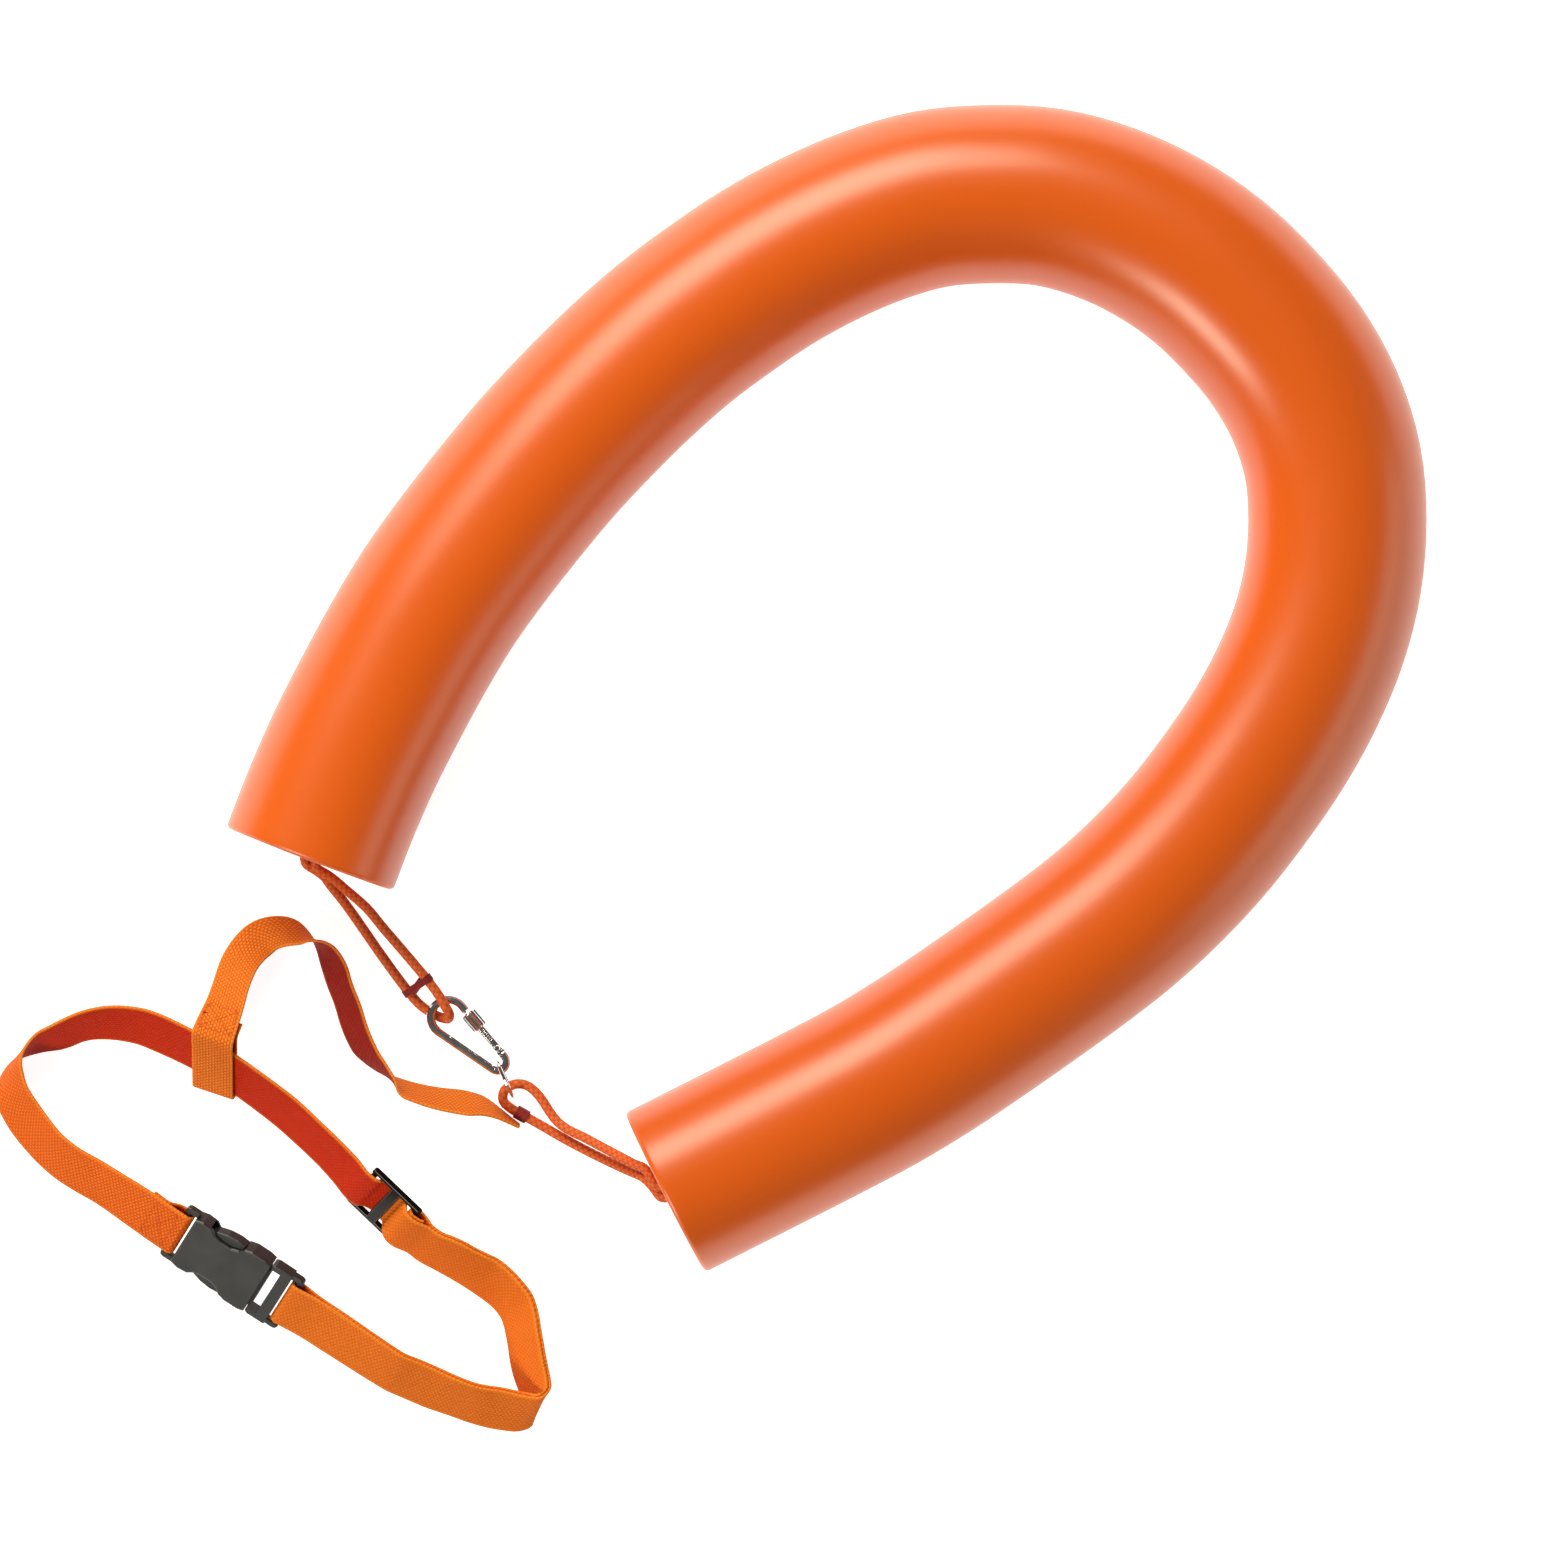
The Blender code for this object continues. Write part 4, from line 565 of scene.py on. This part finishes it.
@dataclass(frozen=True)
class Finish:
    """Surface that varies slowly between two colours and has a fine grain."""

    name: str
    low: Colour
    high: Colour
    roughness: tuple[float, float]
    slow: float
    fine: float
    grain_depth: float
    grain_strength: float = 1.0
    specular: float = 0.5
    metallic: float = 0.0
    pores: float = 0.0
    pore_share: float = 0.5
    roughness_mask: str = "Mask"

    def material(self, groups: Groups) -> Material:
        """Material that reads the piece's own coordinates."""
        made, nodes, shader = started(
            self.name, self.high, sum(self.roughness) / 2, self.specular, self.metallic)
        coords = nodes.add("ShaderNodeTexCoord").outputs["Object"]
        mottle = nodes.group(groups.mottle, Vector=coords, Slow=self.slow, Fine=self.fine)
        grain = mottle["Grain"]
        if self.pores:
            pores = nodes.add("ShaderNodeTexVoronoi", {"Vector": coords, "Scale": self.pores})
            dents = nodes.math("MULTIPLY", pores.outputs["Distance"], self.pore_share)
            grain = nodes.math("ADD", grain, dents)
        joined(nodes, shader, nodes.blend(mottle["Mask"], self.low, self.high),
               nodes.spread(mottle[self.roughness_mask], *self.roughness),
               nodes.bumped(grain, self.grain_depth, self.grain_strength))
        return made


@dataclass(frozen=True)
class RouteFinish:
    """Surface of a webbing or a cord, which reads the piece's route map."""

    name: str
    colour: Colour
    gap: Colour
    roughness: tuple[float, float]
    slow: float
    fine: float
    stain: float
    fuzz: float
    depth: float
    specular: float

    def begun(self, groups: Groups) -> tuple:
        """Material with its Nodes helper, Principled node, route map and mottle outputs."""
        made, nodes, shader = started(self.name, self.colour, self.roughness[0], self.specular)
        route = nodes.add("ShaderNodeUVMap", uv_map="route").outputs[0]
        coords = nodes.add("ShaderNodeTexCoord").outputs["Object"]
        return made, nodes, shader, route, nodes.group(
            groups.mottle, Vector=coords, Slow=self.slow, Fine=self.fine)

    def fuzzy(self, nodes: Nodes, height: Socket, grain: Socket) -> Socket:
        """Normal of the yarns with some fuzz on them."""
        return nodes.bumped(nodes.math("ADD", height, nodes.math("MULTIPLY", grain, self.fuzz)), self.depth)


@dataclass(frozen=True)
class WebbingFinish(RouteFinish):
    """Woven webbing, lighter on its selvedges, with painted shade between its yarns and on its inner face."""

    name: str = "belt_weave"
    colour: Colour = (1.0, 0.215, 0.014)
    # Painted shade in the gaps between the yarns.
    gap: Colour = (0.66, 0.060, 0.003)
    roughness: tuple[float, float] = (0.72, 0.58)
    slow: float = 30.0
    fine: float = 2600.0
    stain: float = 0.35
    fuzz: float = 0.3
    depth: float = 0.3 * MM
    specular: float = 0.14
    width: float = 25 * MM
    # Painted shade: the inner face is darker and redder for the shade it lies in; inner_gap darkens it again
    # in the gaps.
    inner: Colour = (0.74, 0.030, 0.0005)
    inner_gap: float = 0.7
    selvedge: Colour = (1.0, 0.28, 0.03)
    selvedge_share: float = 0.7
    rib: float = 1.5 * MM
    pick: float = 1.9 * MM

    def material(self, groups: Groups) -> Material:
        """Webbing material, with painted shade on its inner face and between its yarns."""
        made, nodes, shader, route, mottle = self.begun(groups)
        weave = nodes.group(groups.weave, Map=route, Half_Width=self.width / 2, Rib=self.rib, Pick=self.pick)
        # Share of the inner face, which takes the painted shade of the inner colour.
        turned = nodes.add("ShaderNodeAttribute", attribute_name="inner").outputs["Fac"]
        face = nodes.blend(turned, self.colour, self.inner)
        deep = nodes.blend(turned, self.gap, tuple(self.inner_gap * c for c in self.inner))
        # Yarn tops take the face colour, and the gaps between them take painted shade.
        yarn = nodes.blend(weave["Height"], deep, face)
        shade = nodes.blend(nodes.math("MULTIPLY", mottle["Mask"], self.stain), yarn, deep)
        edge = nodes.math("MULTIPLY", weave["Edge"], self.selvedge_share)
        joined(nodes, shader, nodes.blend(edge, shade, self.selvedge),
               nodes.spread(weave["Height"], *self.roughness),
               self.fuzzy(nodes, weave["Height"], mottle["Grain"]))
        return made


@dataclass(frozen=True)
class CordFinish(RouteFinish):
    """Braided cord, with painted shade between its strands."""

    name: str = "cord_braid"
    colour: Colour = (0.84, 0.17, 0.035)
    # Painted shade in the gaps between the strands; the stain also darkens towards it.
    gap: Colour = (0.50, 0.050, 0.008)
    roughness: tuple[float, float] = (0.5, 0.8)
    slow: float = 60.0
    fine: float = 3000.0
    stain: float = 0.3
    fuzz: float = 0.25
    depth: float = 0.14 * MM
    specular: float = 0.3
    strand_power: float = 0.7

    def material(self, groups: Groups) -> Material:
        """Cord material."""
        made, nodes, shader, route, mottle = self.begun(groups)
        braid = nodes.group(groups.braid, Map=route)
        base = nodes.blend(nodes.math("POWER", braid["Height"], self.strand_power), self.gap, self.colour)
        stain = nodes.math("MULTIPLY", mottle["Mask"], self.stain)
        joined(nodes, shader, nodes.blend(stain, base, self.gap), nodes.spread(braid["Gap"], *self.roughness),
               self.fuzzy(nodes, braid["Height"], mottle["Grain"]))
        return made


FOAM = Finish("foam_skin", (0.74, 0.108, 0.001), (0.79, 0.116, 0.001), (0.31, 0.37), 9.0, 1400.0,
              0.05 * MM, 0.35, specular=0.72, pores=700.0)
THREAD = Finish("sewing_thread", (0.14, 0.003, 0.003), (0.36, 0.012, 0.008), (0.45, 0.7), 350.0, 4000.0,
                0.06 * MM, roughness_mask="Grain")
SEAM = replace(THREAD, name="seam_thread", low=(0.55, 0.06, 0.006), high=(0.80, 0.12, 0.012))
PLASTIC = Finish("moulded_plastic", (0.014, 0.015, 0.018), (0.026, 0.027, 0.032), (0.30, 0.42), 90.0, 2200.0,
                 0.03 * MM, 0.6)
BLACK = replace(PLASTIC, name="glossy_plastic", low=(0.004, 0.003, 0.003), high=(0.008, 0.006, 0.006),
                roughness=(0.14, 0.20), specular=0.2)
STEEL = Finish("polished_steel", (0.656, 0.656, 0.6642), (0.80, 0.80, 0.81), (0.06, 0.22), 220.0, 1500.0,
               0.02 * MM, 0.3, metallic=1.0)
# The waist run's webbing has painted shade on its inner face; the front run's copy keeps the webbing's own
# colour there.
WEAVE = WebbingFinish()
FRONT_WEAVE = WebbingFinish("front_weave", inner=(1.0, 0.21, 0.014))
# The tether's lighter colour is painted light on its upper face, and its dark red inner face is painted shade.
STRAP_WEAVE = WebbingFinish("strap_weave", (1.0, 0.31, 0.028), width=20 * MM, inner=(0.34, 0.009, 0.0005))


@dataclass
class Float:
    """Foam tube bent into a U, with a bore right through it."""

    radius: float = 40 * MM
    bore_radius: float = 6 * MM
    sides: int = 96
    steps: int = 4
    rim_radius: float = 2.2 * MM
    bore_rim_radius: float = 0.8 * MM
    rim_steps: int = 4

    def rim(self, end: Matrix, into: float, inside: bool) -> list[Matrix]:
        """Frames that round one rim of an end face, from the tube's side to the face.

        Args:
            end: Frame of the end face.
            into: 1 where the tube runs along the frame's Z from this face, -1 where it comes to it.
            inside: Whether it is the bore's rim.

        Returns:
            Frames scaled to the radius at each step.
        """
        turn = self.bore_rim_radius if inside else self.rim_radius
        radius = self.bore_radius if inside else self.radius
        out = 1.0 if inside else -1.0
        made = []
        for k in range(self.rim_steps + 1):
            angle = math.pi / 2 * k / self.rim_steps
            reach = radius + out * turn * (1.0 - math.cos(angle))
            depth = into * turn * (1.0 - math.sin(angle))
            made.append(end @ Matrix.Translation((0.0, 0.0, depth)) @ scaled(reach, reach))
        return made

    def build(self, finish: Material) -> None:
        """Build the foam tube, with a flat below where it rests."""
        rows = refined([place(row) for row in summed(FLOAT_STEPS)], self.steps)
        frames = carried_frames([Vector(row) for row in rows])
        wide = scaled(self.radius, self.radius)
        narrow = scaled(self.bore_radius, self.bore_radius)
        rings = self.rim(frames[0], 1.0, False)[::-1] + [frame @ wide for frame in frames[1:-1]]
        rings += self.rim(frames[-1], -1.0, False) + self.rim(frames[-1], -1.0, True)[::-1]
        rings += [frame @ narrow for frame in frames[-2:0:-1]] + self.rim(frames[0], 1.0, True)
        bm = swept(round_section(1.0, self.sides), rings, [0.0] * len(rings), capped=False)
        bmesh.ops.bridge_loops(bm, edges=[edge for edge in bm.edges if edge.is_boundary])
        bmesh.ops.recalc_face_normals(bm, faces=bm.faces)
        for vert in bm.verts:
            vert.co.z = max(vert.co.z, 0.0)
        obj = added("float_foam", bm, finish, Body.MAIN)
        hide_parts("float_tube")


@dataclass(frozen=True)
class Stretch:
    """Part of a strap between the main body and a moving one, built as a piece on no body."""

    other: Body
    way: tuple[float, float, float]
    main_at: float
    other_at: float
    first: float = 0.0
    last: float = 1.0

    def bend(self, obj: bpy.types.Object) -> None:
        """Bake the piece's place into its mesh; it follows neither body."""
        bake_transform(obj)


class Station(NamedTuple):
    """Place on a strap's middle line, with the directions across it and out of its inner face."""

    centre: Vector
    across: Vector
    out: Vector
    width: float
    length: float


@dataclass
class Strap:
    """Flat woven strap along a table of stations."""

    name: str
    node: str
    rows: Sequence[Row]
    width: float
    thickness: float
    steps: int = 3
    half_divisions: int = 5
    edge_share: float = 0.45
    # Face of the strap that the section's top is; the inner face gets the webbing's painted shade.
    top_side: Side = Side.INNER
    stretches: tuple[Stretch, ...] = ()
    stations: list[Station] = field(default_factory=list)

    def __post_init__(self) -> None:
        """Work out the smooth stations."""
        smooth = refined([(*(x * UNIT for x in row[:3]), *(x * SHARE for x in row[3:6]),
                           row[6] * UNIT if row[6:] else self.width) for row in self.rows], self.steps)
        centres = [Vector(row[:3]) for row in smooth]
        for row, centre, length, way in zip(smooth, centres, walked(centres), directions(centres)):
            across = Vector(row[3:6]).normalized()
            self.stations.append(Station(centre, across, way.cross(across).normalized(), row[6], length))

    def section(self) -> tuple[Section, list[float]]:
        """Closed section with rounded edges, and each point's share of the inner face."""
        half = self.thickness / 2
        inset = self.edge_share * half
        reach = self.width / 2
        flat = [k / self.half_divisions for k in range(-self.half_divisions, self.half_divisions + 1)]
        top = [(x * (reach - inset), half, x * reach) for x in flat]
        side = [(reach, half - inset, reach), (reach, inset - half, reach)]
        back = [(x * (reach - inset), -half, x * reach) for x in flat[::-1]]
        other = [(-reach, inset - half, -reach), (-reach, half - inset, -reach)]
        up = 0.5 + self.top_side.value / 2
        faced = [up] * len(top) + [0.5] * len(side) + [1.0 - up] * len(back) + [0.5] * len(other)
        return top + side + back + other, faced

    def nearest(self, length: float) -> int:
        """Number of the station nearest to a length along the strap."""
        return min(range(len(self.stations)), key=lambda i: abs(self.stations[i].length - length))

    def build(self, finish: Material) -> None:
        """Build the strap, in one piece or in one for each stretch."""
        section, faced = self.section()
        frames = [basis(s.centre, s.across, s.out, s.across.cross(s.out))
                  @ scaled(s.width / self.width, 1.0) for s in self.stations]
        lengths = [station.length for station in self.stations]
        for number, stretch in enumerate(self.stretches or (None,)):
            first, last = 0, len(frames)
            if stretch:
                first, last = self.nearest(stretch.first), self.nearest(stretch.last) + 1
            bm = swept(section, frames[first:last], lengths[first:last])
            # Share of the inner face at each vertex, which the webbing shader turns into painted shade.
            inner = bm.verts.layers.float.new("inner")
            for index, vert in enumerate(bm.verts):
                vert[inner] = faced[index % len(section)]
            name = f"{self.name}_{number + 1}" if number else self.name
            obj = added(name, bm, finish, None if stretch else Body.MAIN, smooth=50.0)
            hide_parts(self.node)
            if stretch:
                stretch.bend(obj)

    def at(self, length: float, across: float, side: Side, lift: float) -> Matrix:
        """Frame on the strap's face.

        Args:
            length: Metres along the strap.
            across: Metres from its middle line.
            side: Face of the strap.
            lift: Height over that face.

        Returns:
            A matrix with X along the strap, Y across and Z out of the face.
        """
        after = next(i for i, station in enumerate(self.stations) if i and station.length >= length)
        a, b = self.stations[after - 1], self.stations[after]
        t = (length - a.length) / (b.length - a.length)
        out = a.out.lerp(b.out, t).normalized() * side.value
        along = (b.centre - a.centre).normalized()
        point = (a.centre.lerp(b.centre, t) + a.across.lerp(b.across, t) * across
                 + out * (self.thickness / 2 + lift))
        return basis(point, along, out.cross(along), out)


@dataclass
class Stitching:
    """Rows of sewn stitches on one face of a strap."""

    bm: Mesh
    strap: Strap
    side: Side
    pitch: float = 2.4 * MM
    length: float = 1.7 * MM
    thread: float = 0.45 * MM
    sink: float = 0.08 * MM

    def row(self, start: tuple[float, float], end: tuple[float, float]) -> None:
        """Add a straight row of stitches between two places, in metres along and across."""
        a, b = Vector(start), Vector(end)
        count = max(1, round((b - a).length / self.pitch))
        turn = Matrix.Rotation(math.atan2(b.y - a.y, b.x - a.x), 4, "Z")
        shape = scaled(self.length / 2, self.thread / 2, self.thread / 2)
        for k in range(count):
            spot = a.lerp(b, (k + 0.5) / count)
            frame = self.strap.at(spot.x, spot.y, self.side, self.thread / 2 - self.sink)
            bmesh.ops.create_icosphere(self.bm, subdivisions=2, radius=1.0, matrix=frame @ turn @ shape)

    def box(self, start: float, end: float, half: float) -> None:
        """Add a sewn box with a cross in it, from start to end along the strap and half its width."""
        corners = [(start, -half), (end, -half), (end, half), (start, half)]
        for a, b in [*zip(corners, corners[1:] + corners[:1]), corners[::2], corners[1::2]]:
            self.row(a, b)

    def bars(self, start: float, end: float, half: float, count: int) -> None:
        """Add rows that cross the strap side by side, from start to end along it and half their length."""
        for k in range(count):
            along = start + (end - start) * k / (count - 1)
            self.row((along, -half), (along, half))


@dataclass
class GateThread:
    """Screw thread on the hook's gate, under the nut and next to it."""

    pivot: tuple[float, float, float] = (-0.332255, -0.337325, 0.0073)
    axis: tuple[float, float, float] = (-0.645136, 0.764068, 0.0)
    start: float = 4.2 * MM
    end: float = 19.4 * MM
    pitch: float = 0.85 * MM
    radius: float = 2.06 * MM
    ridge: float = 0.17 * MM
    sides: int = 6
    turn_steps: int = 20

    def build(self, finish: Material) -> None:
        """Build the thread as one ridge wound round the gate."""
        along = Vector(self.axis)
        count = round((self.end - self.start) / self.pitch * self.turn_steps)
        points = []
        for k in range(count + 1):
            angle = math.tau * k / self.turn_steps
            reach = self.start + (self.end - self.start) * k / count
            points.append(Vector(self.pivot) + along * reach
                          + along.cross(UP) * (self.radius * math.cos(angle))
                          + UP * (self.radius * math.sin(angle)))
        added("gate_thread", round_sweep(points, self.ridge, self.sides), finish, Body.GATE)


@dataclass
class CordRun:
    """Round braided cord along a table of points."""

    name: str
    node: str
    rows: Sequence[Row]
    free: bool = False
    diameter: float = 4.4 * MM
    sides: int = 24
    steps: int = 3

    def points(self) -> list[Vector]:
        """Points of the cord's middle line."""
        return [Vector(row) for row in refined([place(row) for row in self.rows], self.steps)]

    def build(self, finish: Material) -> None:
        """Build the cord; a free one lies loose from one mouth of the bore back into it."""
        points = self.points()
        bm = round_sweep(points, self.diameter / 2, self.sides)
        obj = added(self.name, bm, finish, Body.MAIN)
        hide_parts(self.node)


@dataclass
class Whipping:
    """Thread wound round both strands of a cord loop, over the bar that joins them."""

    cord: CordRun
    spot: tuple[float, float, float] = (-0.36815, -0.30925, 0.00775)
    thread: float = 0.5 * MM
    clearance: float = 0.1 * MM
    turns: int = 7
    turn_steps: int = 24
    sides: int = 6

    def build(self, finish: Material) -> None:
        """Build the turns as one thread."""
        points = self.cord.points()
        middle = len(points) // 2
        one, other = (min(half, key=lambda p: (p - Vector(self.spot)).length)
                      for half in (points[:middle], points[middle:]))
        across = (other - one).normalized()
        along = across.cross(UP).normalized()
        out = along.cross(across)
        reach = self.cord.diameter / 2 + self.thread / 2 + self.clearance
        wound = []
        for k in range(self.turns * self.turn_steps):
            angle = math.tau * ((k + 0.5) / self.turn_steps + 0.25)
            strand = other if math.cos(angle) > 0 else one
            wound.append(strand + across * (reach * math.cos(angle)) + out * (reach * math.sin(angle))
                         + along * (self.thread * (k / self.turn_steps - self.turns / 2)))
        added("loop_whipping", round_sweep(wound, self.thread / 2, self.sides), finish, Body.MAIN)


@dataclass
class Studio:
    """Pale floor, soft lamps and the camera that looks straight down."""

    frame_width: float = 703.35 * MM
    view_centre: tuple[float, float] = (-0.204075, -0.217125)
    lens: float = 250.0
    sensor: float = 36.0
    focus_height: float = 0.02
    floor_half: float = 6.0
    floor_colour: Colour = (0.86, 0.86, 0.87)
    floor_glow: float = 0.9
    lamp_colour: Colour = (1.0, 0.96, 0.78)
    world_colour: Colour = (1.0, 0.99, 0.98)
    world_strength: float = 0.10

    def camera(self) -> None:
        """Create the camera and make it the scene's own."""
        data = bpy.data.cameras.new("plan_camera")
        data.lens = self.lens
        data.sensor_width = self.sensor
        obj = shown("plan_camera", data)
        obj.location = (*self.view_centre, self.focus_height + self.frame_width * self.lens / self.sensor)
        bpy.context.scene.camera = obj

    def lamp(self, name: str, spot: tuple, size: tuple, power: float,
             aim: tuple = (-0.2, -0.2, 0.0)) -> None:
        """Add an oblong area lamp.

        Args:
            name: Name of the lamp.
            spot: Where it hangs.
            size: Its width and height.
            power: Watts.
            aim: Point that it faces.
        """
        data = bpy.data.lights.new(name, "AREA")
        data.shape = "RECTANGLE"
        data.size, data.size_y = size
        data.energy = power
        data.color = self.lamp_colour
        obj = shown(name, data)
        obj.location = spot
        obj.rotation_euler = (Vector(aim) - Vector(spot)).to_track_quat("-Z", "Y").to_euler()

    def floor(self) -> None:
        """Add the floor, white to the camera where nothing shades it."""
        bm = bmesh.new()
        bmesh.ops.create_grid(bm, x_segments=1, y_segments=1, size=self.floor_half)
        mesh = bpy.data.meshes.new("studio_floor")
        bm.to_mesh(mesh)
        bm.free()
        material, nodes, shader = started("studio_floor", self.floor_colour, 0.9)
        path = nodes.add("ShaderNodeLightPath").outputs
        seen = nodes.math("MAXIMUM", nodes.math("MAXIMUM", path["Is Camera Ray"], path["Is Glossy Ray"]),
                          path["Is Transmission Ray"])
        glow = nodes.add("ShaderNodeEmission", {"Color": (1.0, 1.0, 1.0, 1.0), "Strength": self.floor_glow})
        both = nodes.add("ShaderNodeAddShader", {0: shader.outputs[0], 1: glow.outputs[0]})
        mix = nodes.add("ShaderNodeMixShader", {0: seen, 1: shader.outputs[0], 2: both.outputs[0]})
        output = next(n for n in material.node_tree.nodes if n.type == "OUTPUT_MATERIAL")
        nodes.put(output.inputs["Surface"], mix.outputs[0])
        mesh.materials.append(material)
        shown("studio_floor", mesh)

    def world(self) -> None:
        """Light the scene softly from all round."""
        world = bpy.data.worlds.new("studio_world")
        world.use_nodes = True
        background = next(n for n in world.node_tree.nodes if n.type == "BACKGROUND")
        background.inputs["Color"].default_value = (*self.world_colour, 1.0)
        background.inputs["Strength"].default_value = self.world_strength
        bpy.context.scene.world = world

    def build(self) -> None:
        """Build the whole studio."""
        self.floor()
        self.world()
        self.lamp("key_lamp", (-1.05, 1.9, 1.95), (2.2, 1.5), 95.0)
        self.lamp("belt_lamp", (-1.6, -1.7, 1.3), (0.8, 0.8), 30.0, (-0.4, -0.4, 0.0))
        self.lamp("low_lamp", (2.0, -0.8, 0.6), (2.4, 0.9), 13.0, (-0.1, -0.1, 0.0))
        self.camera()
        bpy.context.scene.view_settings.view_transform = "Standard"


def sew(waist: Strap, tether: Strap, finish: Material) -> None:
    """Sew the socket's fold on the belt, and the keeper and the narrow tip on the tether."""
    bm = bmesh.new()
    Stitching(bm, waist, Side.OUTER).box(start=30 * MM, end=42 * MM, half=10 * MM)
    on_tether = Stitching(bm, tether, Side.INNER)
    on_tether.box(start=203 * MM, end=215 * MM, half=8 * MM)
    on_tether.bars(start=2 * MM, end=8 * MM, half=3.2 * MM, count=4)
    added("belt_stitches", bm, finish, Body.MAIN)


def main() -> None:
    """Build the looks of every sub-assembly in order."""
    logging.basicConfig(level=logging.INFO, format="%(name)s %(message)s")
    groups = Groups()
    Studio().build()
    foam, seam, thread, plastic, black, steel, weave, front_weave, strap_weave, braid = (
        finish.material(groups) for finish in (
            FOAM, SEAM, THREAD, PLASTIC, BLACK, STEEL, WEAVE, FRONT_WEAVE, STRAP_WEAVE, CordFinish()))
    left_loop = CordRun("left_loop", "left_cord_loop", summed(LEFT_LOOP_STEPS), free=True)
    left_loop.build(braid)
    Whipping(left_loop).build(thread)
    CordRun("right_loop", "right_cord_loop", summed(RIGHT_LOOP_STEPS), free=True).build(braid)
    CordRun("bore_strand_inner", "core_strand_inner", beside_axis(INNER_STRAND_OFFSETS)).build(braid)
    CordRun("bore_strand_outer", "core_strand_outer", beside_axis(OUTER_STRAND_OFFSETS)).build(braid)
    Float().build(foam)
    waist = Strap("waist_belt", "belt_webbing_long", summed(WAIST_STEPS), 25 * MM, 1.4 * MM, stretches=(
        Stretch(Body.SLIDER, SLIDE_WAY, main_at=-45 * MM, other_at=-5 * MM),))
    waist.build(weave)
    Strap("front_belt", "belt_webbing_doubled", summed(FRONT_STEPS), 25 * MM, 1.4 * MM, stretches=(
        Stretch(Body.SLIDER, SLIDE_WAY, main_at=78 * MM, other_at=32 * MM, last=132 * MM),
        Stretch(Body.PLUG, PULL_WAY, main_at=-10 * MM, other_at=-100 * MM, first=132 * MM, last=377 * MM),
        Stretch(Body.SLIDER, SLIDE_WAY, main_at=78 * MM, other_at=32 * MM, first=377 * MM),
    )).build(front_weave)
    tether = Strap("tether", "tether_strap", summed(TETHER_STEPS), 20 * MM, 1.3 * MM, top_side=Side.OUTER)
    tether.build(strap_weave)
    sew(waist, tether, seam)
    GateThread().build(steel)
    for finish, names in (
            (plastic, ("buckle_socket", "buckle_plug", "plug_arm_upper", "plug_arm_lower")),
            (black, ("tri_glide",)),
            (steel, ("hook_body", "hook_gate", "gate_rivet", "gate_spring", "gate_plunger", "lock_nut",
                     "link_ring")),
            (thread, ("loop_bartack", "tether_binding"))):
        for name in names:
            for material_slot in frame["nodes"][name].material_slots:
                material_slot.material = finish


if __name__ == "__main__":
    main()
